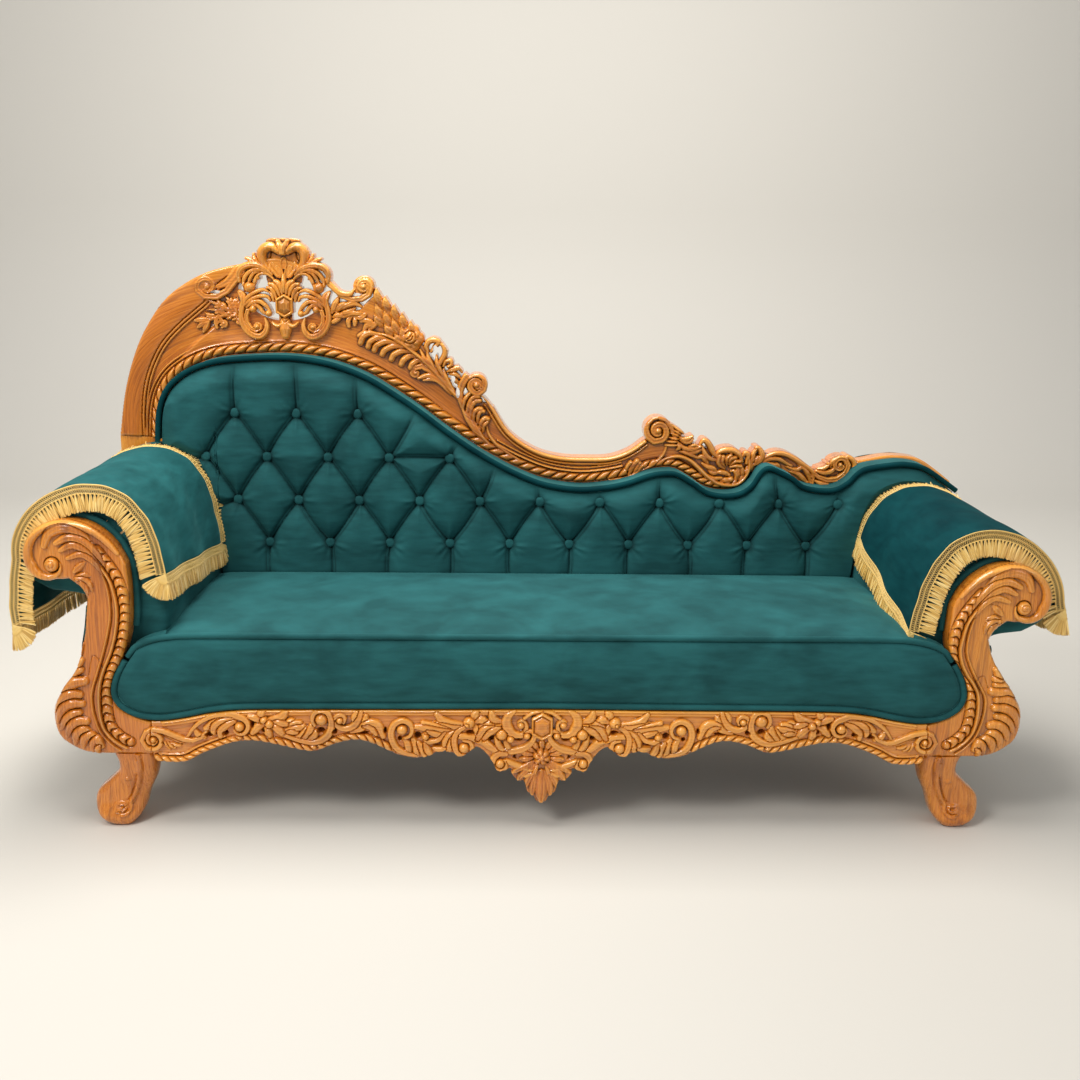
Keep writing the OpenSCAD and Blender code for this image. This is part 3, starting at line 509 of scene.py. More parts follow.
    def jewel(self, cx, cz, half, tall, top, base):
        """A six-sided cut stone in a raised rim."""
        window = self.near([(cx, cz)], tall + 4)[0]
        x = self.x[window[0]][:, None] - self.origin[0] - cx
        z = self.z[window[1]][None, :] - self.origin[1] - cz
        far = np.maximum(np.abs(x) / half, np.abs(x) / half * 0.42 + np.abs(z) / tall)
        inside = (1 - far) * half
        facet = np.clip(inside - 5, 0, 9) * 0.62
        rim = 3.4 * np.exp(-((inside - 3.2) / 1.7) ** 2) - 2.2 * np.exp(-((inside - 6.2) / 1.1) ** 2)
        self.lay(window, base + top * 0.62 + facet + rim, inside)
        self.stain[window] += 2.6 * (inside > 6)

    def volute(self, tail, centre, turns, hand, widths, top, base=0.0, eye=5.0, hollow=0.3,
               shrink=0.42):
        """A scroll that winds up into a round eye."""
        line = curl(tail, centre, turns, hand, shrink)
        self.stroke(line, widths, top, base, hollow=hollow, power=0.4)
        self.dome(centre, eye, np.atleast_1d(top)[-1] * 1.15, base)

    def petal(self, line, w, top, base, shape=(0.4, 0.7, 0.95, 1.0, 0.85, 0.4), share=0.86):
        """A blade with a vein along its rib."""
        rib = smooth(line, 6)
        self.stroke(rib, np.array(shape) * w * share, [top * 0.7, top, top, top * 0.6], base,
                    vein=top * 0.2, power=0.55)
        return rib

    def leaf(self, line, w, top, base, pairs=4):
        """An acanthus leaf along its rib: a pointed blade with pairs of rounded side lobes."""
        rib = self.petal(line, w, top, base, (0.45, 0.85, 1.0, 0.85, 0.55, 0.12), 0.6)
        run = np.gradient(rib, axis=0)
        run /= np.linalg.norm(run, axis=1, keepdims=True)
        for k in range(pairs):
            i = int((0.04 + 0.66 * k / pairs) * (len(rib) - 1))
            t = run[i]
            reach = w * (1.0 - 0.3 * k / pairs)
            for n in (np.array([-t[1], t[0]]), np.array([t[1], -t[0]])):
                self.stroke(smooth([rib[i], rib[i] + t * reach * 0.3 + n * reach * 0.55,
                                    rib[i] + t * reach * 1.05 + n * reach * 0.92], 3),
                            np.array([0.25, 0.42, 0.48, 0.36]) * w, [top * 0.7, top * 0.95, top * 0.8],
                            base, power=0.5)

    def union(self, centre, r):
        """Widens the board with a disc."""
        far = r - np.hypot(self.x[:, None] - centre[0], self.z[None, :] - centre[1])
        self.edge = np.maximum(self.edge, far)

    def hole(self, cx, cz, rx, rz):
        """An oval opening through the board."""
        far = np.hypot((self.x[:, None] - cx) / rx, (self.z[None, :] - cz) / rz)
        self.edge = np.minimum(self.edge, (far - 1) * min(rx, rz))

    def round(self, r):
        """Rounds the board's edges."""
        e = np.clip(self.edge, 0, r)
        self.h -= r - np.sqrt(np.maximum(r * r - (r - e) ** 2, 0))

    def back_faces(self, cell, back_index):
        """The flat back: a face to each upright run of cells, with all rim points on its sides."""
        faces = []
        for i in np.flatnonzero(cell.any(1)):
            change = np.flatnonzero(np.diff(np.concatenate([[0], cell[i].astype(int), [0]])))
            for k0, k1 in zip(change[::2], change[1::2]):
                left, right = back_index[i:i + 2, k0:k1 + 1]
                faces.append(np.concatenate([left[left >= 0], right[right >= 0][::-1]])[None, :])
        return faces

    def depth(self):
        """How far each place stands above its neighbours, less the stain it is given. The
        finish darkens low places with stain and painted shade, and lightens high ones with
        rubbed wear and painted highlight.
        """
        blur = self.h.copy()
        near = 0
        for k in range(26):
            blur[1:-1] = 0.25 * blur[:-2] + 0.5 * blur[1:-1] + 0.25 * blur[2:]
            blur[:, 1:-1] = 0.25 * blur[:, :-2] + 0.5 * blur[:, 1:-1] + 0.25 * blur[:, 2:]
            if k in (3, 25):
                near = near + (self.h - blur) * (0.7 if k == 3 else 0.5)
        return near - self.stain

    def side_walls(self, cell, front, strip, back):
        """Quads down the sides, from the numbers of the face's, the strip's and the back's points."""
        pad = np.pad(cell, 1)
        walls = []
        for di, dk, a, b in ((0, -1, (0, 0), (1, 0)), (1, 0, (1, 0), (1, 1)),
                             (0, 1, (1, 1), (0, 1)), (-1, 0, (0, 1), (0, 0))):
            bare = cell & ~pad[1 + di:1 + di + cell.shape[0], 1 + dk:1 + dk + cell.shape[1]]
            i, k = np.nonzero(bare)
            pa, pb = (i + a[0], k + a[1]), (i + b[0], k + b[1])
            walls.append(np.stack([front[pb], front[pa], strip[pa], strip[pb]], 1))
            walls.append(np.stack([strip[pb], strip[pa], back[pa], back[pb]], 1))
        return np.concatenate(walls)

    def moved_grain(self, x, z, used, rim):
        """Where the board's points lie along and across its own grain, once moved to x and z."""
        moved = []
        for q in self.grain:
            slope = np.gradient(np.asarray(q), self.pitch)
            q = q + (x - self.x[:, None]) * slope[0] + (z - self.z[None, :]) * slope[1]
            moved.append(np.concatenate([q[used], q[rim], q[rim]]))
        return np.stack(moved, 1)

    def piece(self, name, face_y, back_y, side=1, span=None):
        """The board as a closed mesh, with the depth and the grain that the wood's finish reads."""
        e = self.edge
        if span is not None:
            x = self.x[:, None]
            e = np.minimum(e, np.minimum(x - span[0], span[1] - x))
        cell = (e[:-1, :-1] + e[1:, :-1] + e[:-1, 1:] + e[1:, 1:]) > 0
        full = np.zeros(self.count, int)
        for i in (0, 1):
            for k in (0, 1):
                full[i:self.count[0] - 1 + i, k:self.count[1] - 1 + k] += cell
        used = full > 0
        rim = used & (full < 4)
        gx, gz = np.gradient(e, self.pitch)
        scale = np.where(rim, e / np.maximum(gx * gx + gz * gz, 0.35), 0)
        lim = 0.8 * self.pitch
        x = self.x[:, None] - np.clip(scale * gx, -lim, lim)
        z = self.z[None, :] - np.clip(scale * gz, -lim, lim)
        index = np.full(self.count, -1)
        index[used] = np.arange(used.sum())
        n = used.sum()
        front = np.stack([x[used], face_y - self.h[used], z[used]], 1)
        back_index = np.full(self.count, -1)
        back_index[rim] = n + np.arange(rim.sum())
        back = np.stack([x[rim], np.full(rim.sum(), back_y), z[rim]], 1)
        # a narrow strip next to the carved edge keeps its shading off the sawn sides
        deep = back_y - (face_y - self.h[rim])
        strip = back - np.stack([0 * deep, deep - np.minimum(0.5 * deep, 1.5), 0 * deep], 1)
        strip_index = np.where(rim, back_index + rim.sum(), -1)
        i, k = np.nonzero(cell)
        quads = np.stack([index[i, k], index[i + 1, k], index[i + 1, k + 1], index[i, k + 1]], 1)
        walls = self.side_walls(cell, index, strip_index, back_index)
        points = np.concatenate([front, back, strip])
        faces = [quads, walls, *self.back_faces(cell, back_index)]
        if side < 0:
            points = points * [-1, 1, 1]
            faces = [f[:, ::-1] for f in faces]
        made = mesh_of(name, points, faces, 50)
        # the depth over the neighbours, from which the finish paints shade into the hollows and highlight
        # onto the tops
        paint(made, "carving", np.concatenate([self.depth()[used], np.zeros(2 * rim.sum())]))
        along = points[:, [2, 0]] if self.grain is None else self.moved_grain(x, z, used, rim)
        paint(made, "grain", np.column_stack([along, points[:, 1]]) / 1000, "FLOAT_VECTOR")
        return made


# materials
def linear(colour):
    """An sRGB hex colour as a linear RGBA."""
    c = np.array([int(colour[i:i + 2], 16) for i in (1, 3, 5)]) / 255
    c = np.where(c <= 0.04045, c / 12.92, ((c + 0.055) / 1.055) ** 2.4)
    return (*c.tolist(), 1.0)


def add(tree, kind, inputs=None, **settings):
    """Adds a node with its settings, values and links."""
    made = tree.nodes.new(kind)
    for key, value in settings.items():
        setattr(made, key, value)
    for key, value in (inputs or {}).items():
        if isinstance(value, bpy.types.NodeSocket):
            tree.links.new(value, made.inputs[key])
        else:
            made.inputs[key].default_value = value
    return made


def material(name, values):
    """A material with its shader's values and its output."""
    made = bpy.data.materials.new(name)
    made.use_nodes = True
    tree = made.node_tree
    tree.nodes.clear()
    shader = add(tree, "ShaderNodeBsdfPrincipled", values)
    add(tree, "ShaderNodeOutputMaterial", {"Surface": shader.outputs[0]})
    return made, tree, shader


def object_place(tree):
    """Places in the object's own metres."""
    return add(tree, "ShaderNodeTexCoord").outputs["Object"]


def stretched(tree, place, scale, **more):
    """Places to read a texture at, scaled along each axis."""
    return add(tree, "ShaderNodeMapping", {"Vector": place, "Scale": scale, **more}).outputs[0]


def noise(tree, place, scale, detail, **more):
    """A cloudy texture."""
    return add(tree, "ShaderNodeTexNoise", {"Vector": place, "Scale": scale, "Detail": detail, **more})


def ranged(tree, value, low, high, to_low, to_high):
    """A value whose range from low to high is moved to another one."""
    return add(tree, "ShaderNodeMapRange", {"Value": value, "From Min": low, "From Max": high,
                                            "To Min": to_low, "To Max": to_high}).outputs[0]


def tinted(tree, factor, under, over, **settings):
    """One colour laid over another."""
    return add(tree, "ShaderNodeMix", {0: factor, 6: under, 7: over}, data_type="RGBA",
               **settings).outputs[2]


def weighed(tree, first, *others):
    """A sum of values, each with its weight."""
    total = add(tree, "ShaderNodeMath", {0: first[0], 1: first[1]}, operation="MULTIPLY")
    for value, weight in others:
        total = add(tree, "ShaderNodeMath", {0: value, 1: weight, 2: total.outputs[0]},
                    operation="MULTIPLY_ADD")
    return total.outputs[0]


def ramp(tree, factor, stops):
    """A colour ramp with its stops from 0 to 1."""
    made = add(tree, "ShaderNodeValToRGB", {"Fac": factor})
    band = made.color_ramp
    for i, (at, colour) in enumerate(stops):
        spot = band.elements[i] if i < 2 else band.elements.new(at)
        spot.position = at
        spot.color = linear(colour)
    return made.outputs[0]


def bumped(tree, shader, height, strength, distance):
    """Gives the shader a fine unevenness."""
    bump = add(tree, "ShaderNodeBump", {"Height": height, "Strength": strength, "Distance": distance})
    tree.links.new(bump.outputs[0], shader.inputs["Normal"])


def teak(name, along=None, carved=False):
    """Teak, carved or planed, stained honey and lacquered: brown growth lines a few
    millimetres apart, fine dark pores along the grain, and a clear glossy coat. On carved
    pieces the hollows are darkened by stain and by painted shade, and the tops are
    lightened by rubbed wear and by painted highlight."""
    made, tree, shader = material(name, {"IOR": 1.5, "Coat Weight": 0.75, "Coat Roughness": 0.08})
    if along is None:
        place = add(tree, "ShaderNodeAttribute", attribute_name="grain").outputs["Vector"]
    else:
        place = add(tree, "ShaderNodeMapping", {"Vector": object_place(tree), "Rotation": along}).outputs[0]
    long = stretched(tree, place, (3.2, 14, 14))
    drift = noise(tree, long, 1.0, 3.0, Roughness=0.55).outputs["Color"]
    moved = add(tree, "ShaderNodeVectorMath", {0: drift, 1: (0.0, 0.035, 0.03)}, operation="MULTIPLY")
    bent = add(tree, "ShaderNodeVectorMath", {0: place, 1: moved.outputs[0]}, operation="ADD").outputs[0]
    # growth lines about 7 mm apart, the fibres between them and broad lighter and darker bands
    lines = add(tree, "ShaderNodeTexWave", {"Vector": stretched(tree, bent, (0.35, 1.0, 0.8)),
                                            "Scale": 42.0, "Distortion": 7.0, "Detail": 2.0,
                                            "Detail Scale": 0.7},
                wave_type="BANDS", bands_direction="Y", wave_profile="SAW").outputs["Fac"]
    fine = noise(tree, stretched(tree, bent, (18, 420, 420)), 1.0, 4.0, Roughness=0.62).outputs["Fac"]
    broad = noise(tree, long, 0.45, 2.0).outputs["Fac"]
    tone = weighed(tree, (lines, 0.1), (fine, 0.26), (broad, 0.56))
    colours = bpy.context.scene.divan_colours
    out = ramp(tree, tone, [(0.2, colours.wood_dark), (0.4, colours.wood_mid),
                            (0.56, colours.wood_light), (0.74, colours.wood_pale_and_highlight)])
    dark, pore_and_shade, pale = (linear(c) for c in (colours.wood_dark, colours.wood_pore_and_shade, colours.wood_pale_and_highlight))
    # darker figure here and there, in streaks that wander along the grain, and the pores
    streak = noise(tree, stretched(tree, bent, (4.5, 48, 48)), 1.0, 2.0, Distortion=0.8).outputs["Fac"]
    out = tinted(tree, ranged(tree, streak, 0.54, 0.7, 0.0, 0.62), out, dark)
    pores = noise(tree, stretched(tree, bent, (60, 1500, 1500)), 1.0, 1.0).outputs["Fac"]
    out = tinted(tree, ranged(tree, pores, 0.62, 0.74, 0.0, 0.22), out, pore_and_shade)
    if carved:
        # hollows darken towards the pore colour, as stain and painted shade; tops turn pale, as rubbed wear
        # and painted highlight
        depth = add(tree, "ShaderNodeAttribute", attribute_name="carving").outputs["Fac"]
        out = tinted(tree, ranged(tree, depth, -0.7, -4.2, 0.0, 0.84), out, pore_and_shade)
        out = tinted(tree, ranged(tree, depth, 0.4, 3.2, 0.0, 0.42), out, pale)
    tree.links.new(out, shader.inputs["Base Color"])
    tree.links.new(ranged(tree, fine, 0.3, 0.7, 0.22, 0.36), shader.inputs["Roughness"])
    bumped(tree, shader, fine, 0.12, 0.0006)
    return made


def velvet(name, base, light, nap=0.43, painted_fold_shade=False, sheen=0.55, gloss=0.2):
    """Cotton velvet, woven with a dense cut pile: deep teal from straight on and paler
    where the pile leans away, with brushed patches a hand wide. The pile is too fine to
    show, so it is drawn as a faint 1.5 mm grain."""
    made, tree, shader = material(name, {
        "Roughness": 0.82, "IOR": 1.45, "Specular IOR Level": gloss, "Sheen Weight": sheen,
        "Sheen Roughness": 0.32, "Sheen Tint": linear("#63b4b8")})
    place = object_place(tree)
    patch = noise(tree, stretched(tree, place, (1.0, 1.0, 1.5)), 7.0, 3.0, Roughness=0.5, Distortion=0.6)
    brush = stretched(tree, place, (16, 16, 75), Rotation=(0.2, 0.3, 0.1))
    streak = noise(tree, brush, 1.0, 2.0)
    pile = noise(tree, place, 680.0, 2.0)
    tone = weighed(tree, (streak.outputs["Fac"], 0.35), (patch.outputs["Fac"], 0.65))
    out = tinted(tree, ranged(tree, tone, 0.36, 0.64, 0.0, nap), linear(base), linear(light))
    # painted shade: darker where the buttoned cover's pleats shut and round each button
    if painted_fold_shade:
        fold = add(tree, "ShaderNodeAttribute", attribute_name="fold").outputs["Fac"]
        out = tinted(tree, ranged(tree, fold, 0.0, 1.0, 0.0, 0.85), out,
                     linear(bpy.context.scene.divan_colours.velvet_crease_shade))
    out = tinted(tree, 0.16, out, pile.outputs["Color"], blend_type="SOFT_LIGHT")
    tree.links.new(out, shader.inputs["Base Color"])
    bumped(tree, shader, pile.outputs["Fac"], 0.25, 0.0008)
    return made


def gold_thread(name):
    """Twisted viscose thread, dyed gold: silky, each strand a little lighter or darker than
    the next, with the slant of its twist every 2 mm."""
    made, tree, shader = material(name, {"Roughness": 0.48, "Specular IOR Level": 0.6,
                                         "Sheen Weight": 0.3, "Sheen Roughness": 0.4})
    colours = bpy.context.scene.divan_colours
    shade = add(tree, "ShaderNodeAttribute", attribute_name="strand").outputs["Fac"]
    twist = add(tree, "ShaderNodeTexWave", {"Vector": object_place(tree), "Scale": 150.0,
                                            "Distortion": 1.5},
                wave_type="BANDS", bands_direction="DIAGONAL").outputs["Fac"]
    out = ramp(tree, weighed(tree, (twist, 0.3), (shade, 0.7)),
               [(0.0, colours.gold_dark), (0.5, colours.gold), (1.0, colours.gold_light)])
    tree.links.new(out, shader.inputs["Base Color"])
    return made


def pine(name):
    """Planed pine of the hidden frame, unfinished: pale, with soft yellow-brown grain."""
    made, tree, shader = material(name, {"Roughness": 0.7})
    grain = noise(tree, stretched(tree, object_place(tree), (3, 40, 40)), 1.0, 3.0)
    out = ramp(tree, grain.outputs["Fac"], [(0.35, "#b98c58"), (0.65, "#dcbd8a")])
    tree.links.new(out, shader.inputs["Base Color"])
    return made


def plain_cloth(name, colour, light):
    """Spun-bonded lining cloth or cut foam: matt, with fine crossed fibres about a
    millimetre apart."""
    made, tree, shader = material(name, {"Roughness": 0.9})
    fibres = noise(tree, object_place(tree), 420.0, 3.0).outputs["Fac"]
    tree.links.new(ramp(tree, fibres, [(0.35, colour), (0.7, light)]), shader.inputs["Base Color"])
    bumped(tree, shader, fibres, 0.3, 0.0005)
    return made


def zinc_steel(name):
    """Zinc-plated steel of screws and bolts: grey, softly mirrored, with rolled streaks."""
    made, tree, shader = material(name, {"Metallic": 1.0, "Roughness": 0.35})
    spots = noise(tree, object_place(tree), 260.0, 2.0).outputs["Fac"]
    out = ramp(tree, spots, [(0.3, "#8f9194"), (0.7, "#b9bbbd")])
    tree.links.new(out, shader.inputs["Base Color"])
    return made


made_materials = {}


def finish_of(key):
    """The material of a finish, made when it is first asked for."""
    if key not in made_materials:
        colours = bpy.context.scene.divan_colours
        makers = {
            "carved": lambda: teak("carved_lacquered_teak", carved=True),
            "upright": lambda: teak("lacquered_teak_upright", along=(0, math.pi / 2, 0)),
            "level": lambda: teak("lacquered_teak_level", along=(0, 0, 0)),
            "velvet": lambda: velvet("teal_cotton_velvet", colours.velvet, colours.velvet_light),
            "buttoned": lambda: velvet("teal_velvet_buttoned", colours.velvet,
                                       colours.velvet_light, painted_fold_shade=True),
            "throw": lambda: velvet("teal_throw_velvet", colours.throw, colours.throw_light, 0.4,
                                    sheen=0.1, gloss=0.04),
            "throw_paler": lambda: velvet("teal_throw_velvet_paler", colours.velvet,
                                            colours.velvet_light, 0.46, sheen=0.3, gloss=0.08),
            "gold": lambda: gold_thread("gold_viscose_thread"),
            "pine": lambda: pine("planed_pine"),
            "lining": lambda: plain_cloth("black_lining_cloth", "#16181a", "#2a2d30"),
            "foam": lambda: plain_cloth("cut_polyurethane_foam", "#d8cf9e", "#e9e2b8"),
            "steel": lambda: zinc_steel("zinc_plated_steel"),
        }
        made_materials[key] = makers[key]()
    return made_materials[key]


def settle(made, finish, slot, *nodes):
    """Gives a piece its finish and its body, and hides the CAD nodes it stands for. Its slot is not used.
    """
    made.data.materials.clear()
    made.data.materials.append(finish_of(finish))
    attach(made, "root")
    if nodes:
        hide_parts(*nodes)
    return made


# stage
class DIVAN_OT_stage(bpy.types.Operator):
    """Pale floor and backdrop, soft studio lamps and the camera"""

    bl_idname = "divan.stage"
    bl_label = "Stage"

    def execute(self, context):
        self.floor(context.scene.divan_colours.floor)
        self.world(context.scene)
        self.lamps(context.scene)
        self.camera(context.scene)
        context.scene.view_settings.view_transform = "Standard"
        return {"FINISHED"}

    def floor(self, colour):
        """A floor that rises into the backdrop in a cove of 1.4 m."""
        start, r, top = 3.2, 1.4, 12.0
        cove = [(start + r * math.sin(a), r - r * math.cos(a)) for a in np.linspace(0, np.pi / 2, 13)]
        section = [(-FLOOR_REACH, 0.0), *cove, (start + r, top)]
        rows = np.array([[(x, y, z) for x in (-FLOOR_REACH, FLOOR_REACH)] for y, z in section]) * 1000
        floor = mesh_of("studio_floor", rows.reshape(-1, 3), [grid_faces(len(section), 2)])
        made, _, _ = material("matt_studio_floor", {"Base Color": linear(colour), "Roughness": 0.6})
        floor.data.materials.append(made)

    def world(self, scene):
        """A pale sky, which the lens sees brighter than it lights the divan."""
        world = bpy.data.worlds.new("soft_studio")
        world.use_nodes = True
        scene.world = world
        tree = world.node_tree
        tree.nodes.clear()
        seen = add(tree, "ShaderNodeLightPath")
        direct = add(tree, "ShaderNodeMath", {0: seen.outputs["Is Camera Ray"],
                                              1: seen.outputs["Is Transmission Ray"]},
                     operation="MAXIMUM")
        power = ranged(tree, direct.outputs[0], 0.0, 1.0, 0.5, 0.86)
        sky = add(tree, "ShaderNodeBackground", {"Color": linear("#f2f2f1"), "Strength": power})
        add(tree, "ShaderNodeOutputWorld", {"Surface": sky.outputs[0]})

    def lamps(self, scene):
        """Four soft lamps, each given by its place, what it points at, its size and its watts."""
        for name, place, aim, size, watts in (
            ("key_softbox", (-2.2, -2.5, 3.3), (-0.1, 0.1, 0.5), (1.4, 1.0), 92),
            ("fill_softbox", (2.9, -2.4, 2.2), (0.2, 0, 0.4), (1.6, 1.6), 15),
            ("top_softbox", (-0.5, 0.1, 3.3), (-0.2, 0.0, 0.4), (3.0, 1.2), 112),
            ("wall_wash", (0.0, 1.6, 3.6), (0, 4.4, 1.6), (5.0, 0.6), 95),
        ):
            lamp = bpy.data.lights.new(name, "AREA")
            lamp.shape = "RECTANGLE"
            lamp.size, lamp.size_y = size
            lamp.energy = watts
            lamp.color = linear("#fffaf2")[:3]
            holder = bpy.data.objects.new(name, lamp)
            holder.location = place
            holder.rotation_euler = (Vector(aim) - Vector(place)).to_track_quat("-Z", "Y").to_euler()
            scene.collection.objects.link(holder)

    def camera(self, scene):
        """The camera of the photograph."""
        lens = bpy.data.cameras.new("viewpoint")
        lens.lens = scene.divan_sizes.focal_length
        lens.sensor_width = 36
        lens.clip_start, lens.clip_end = 0.05, 200
        camera = bpy.data.objects.new("viewpoint", lens)
        camera.location = VIEWPOINT
        right = Vector(VIEW_RIGHT).normalized()
        ahead = Vector(VIEW_AHEAD).normalized()
        up = right.cross(ahead).normalized()
        right = ahead.cross(up)
        camera.rotation_euler = Matrix((right, up, -ahead)).transposed().to_euler()
        scene.collection.objects.link(camera)
        scene.camera = camera


# wood
def carve_crest(board, inner, outer):
    """The crest's carving, from the plain shoulder on the left to the wing on the right."""
    window, d, way, side, _ = board.near(inner, 290)
    board.grain = [np.zeros(board.count), np.zeros(board.count)]
    board.grain[0][window], board.grain[1][window] = way, d * side

    # the sunk field between the shoulder's broad band and the bead over the rope
    band = smooth([(-984, 740), (-984, 800), (-976, 870), (-958, 928), (-927, 985), (-885, 1030),
                   (-845, 1064), (-812, 1092), (-790, 1125), (-740, 1160)], 5)
    window, d, _, side, _ = board.near(band, 70)
    board.h[window] -= 6.5 * np.clip((2 - d * side) / 5, 0, 1) * np.clip((64 - d) / 8, 0, 1) * (
        side <= 0)
    board.h[window] += 3.0 * np.exp(-((d / 60) ** 4)) * (side > 0) * np.sin(
        np.pi * np.clip(d / 56, 0, 1)) ** 0.5
    board.stroke(spaced(beside(band, -5), 6), 3.2, 4.5, -4)
    board.stroke(spaced(beside(band, -13), 6), 2.6, 3.6, -4)
    left = inner[inner[:, 0] < -120]
    board.stroke(spaced(beside(left, 28), 6), 3.6, 7.0, -5.5)
    board.stroke(spaced(beside(left, 37), 6), 2.6, 5.0, -5.5)
    board.stroke(spaced(beside(left, 1.5), 6), 1.6, 8.0, 0)

    # slope: the field is sunk behind the leaves, between the bead and the outer edge
    slope = smooth([(-760, 1040), (-620, 1036), (-500, 1028), (-400, 994), (-300, 944), (-215, 858),
                    (-150, 790)], 6)
    window, d, way, _, total = board.near(slope, 150)
    board.h[window] -= 7.0 * np.exp(-((d / 46) ** 4)) * (way < total)

    for k, lap in enumerate((6, 16)):
        rim = outer[(outer[:, 0] > -146) & (outer[:, 0] < 262)]
        wide = (5.5, 2.6)[k] * np.array([0.3, 1, 1, 1, 1, 1, 1, 1])
        board.stroke(spaced(beside(rim, -lap), 6), wide, (9, 5)[k], 0, power=0.45)
    low = inner[(inner[:, 0] > -130) & (inner[:, 0] < 225)]
    board.stroke(spaced(beside(low, 29), 6), 3.6, 7.0, -1)
    board.stroke(spaced(beside(low, 38), 6), 2.4, 4.5, -1)
    board.h -= 3.5 * np.exp(-(np.maximum(0, np.abs(board.x[:, None] - 60) - 150) / 40) ** 2) * (
        (board.edge > 20) & (board.h < 1))

    board.rope(spaced(beside(inner[inner[:, 0] < 232], 13.5), 6), 11, 28, 13, -5)
    board.rope(spaced(beside(inner[(inner[:, 0] > 226) & (inner[:, 0] < 560)], 12.5), 6), 10, 20, 12, -5)

    shoulder_scroll(board)
    slope_leaves(board)
    dip_ends(board)
    right_leaves(board)


def shoulder_scroll(board):
    """The small scroll that ends the shoulder's band, and the leaf sprays below it."""
    board.volute([(-722, 1158), (-740, 1136), (-760, 1112), (-785, 1098), (-812, 1098), (-830, 1112)],
                 (-808, 1122), 0.95, -1, [9, 8, 8, 7, 6, 4], [9, 10, 10, 9, 8], -2, eye=9)
    board.stroke(smooth([(-728, 1166), (-742, 1148), (-762, 1130), (-782, 1122)], 5),
                 [13, 12, 9, 5], [8, 9, 8, 4], -1, hollow=0.35)
    for rib, w, top in (
        ([(-738, 1058), (-766, 1070), (-790, 1082), (-814, 1092)], 11, 10),
        ([(-738, 1050), (-768, 1056), (-792, 1066), (-812, 1066)], 9, 9),
        ([(-742, 1064), (-752, 1084), (-768, 1102)], 9, 9),
        ([(-734, 1066), (-738, 1086), (-747, 1098)], 8, 8),
        ([(-792, 1050), (-806, 1052), (-818, 1062)], 6, 7),
        ([(-740, 1042), (-726, 1034), (-716, 1026)], 7, 8),
    ):
        board.leaf(rib, w, top, -5)
    board.stroke(smooth([(-736, 1052), (-766, 1052), (-792, 1046), (-806, 1042)], 4), [4, 3], 5, -4)
    for turn in (-0.5, 0, 0.5):
        a = math.radians(215) + turn
        board.petal([(-806 + r * math.cos(a), 1044 + r * math.sin(a)) for r in (0, 18, 36)], 8.5, 8, -4)
    board.volute([(-786, 1050), (-792, 1036), (-788, 1024)], (-778, 1030), 0.8, -1, [5, 4, 3], 7, -4, 4)
    board.volute([(-782, 1052), (-776, 1040), (-768, 1028)], (-771, 1034), 0.5, 1, [5, 5, 4], 7, -4, 4)


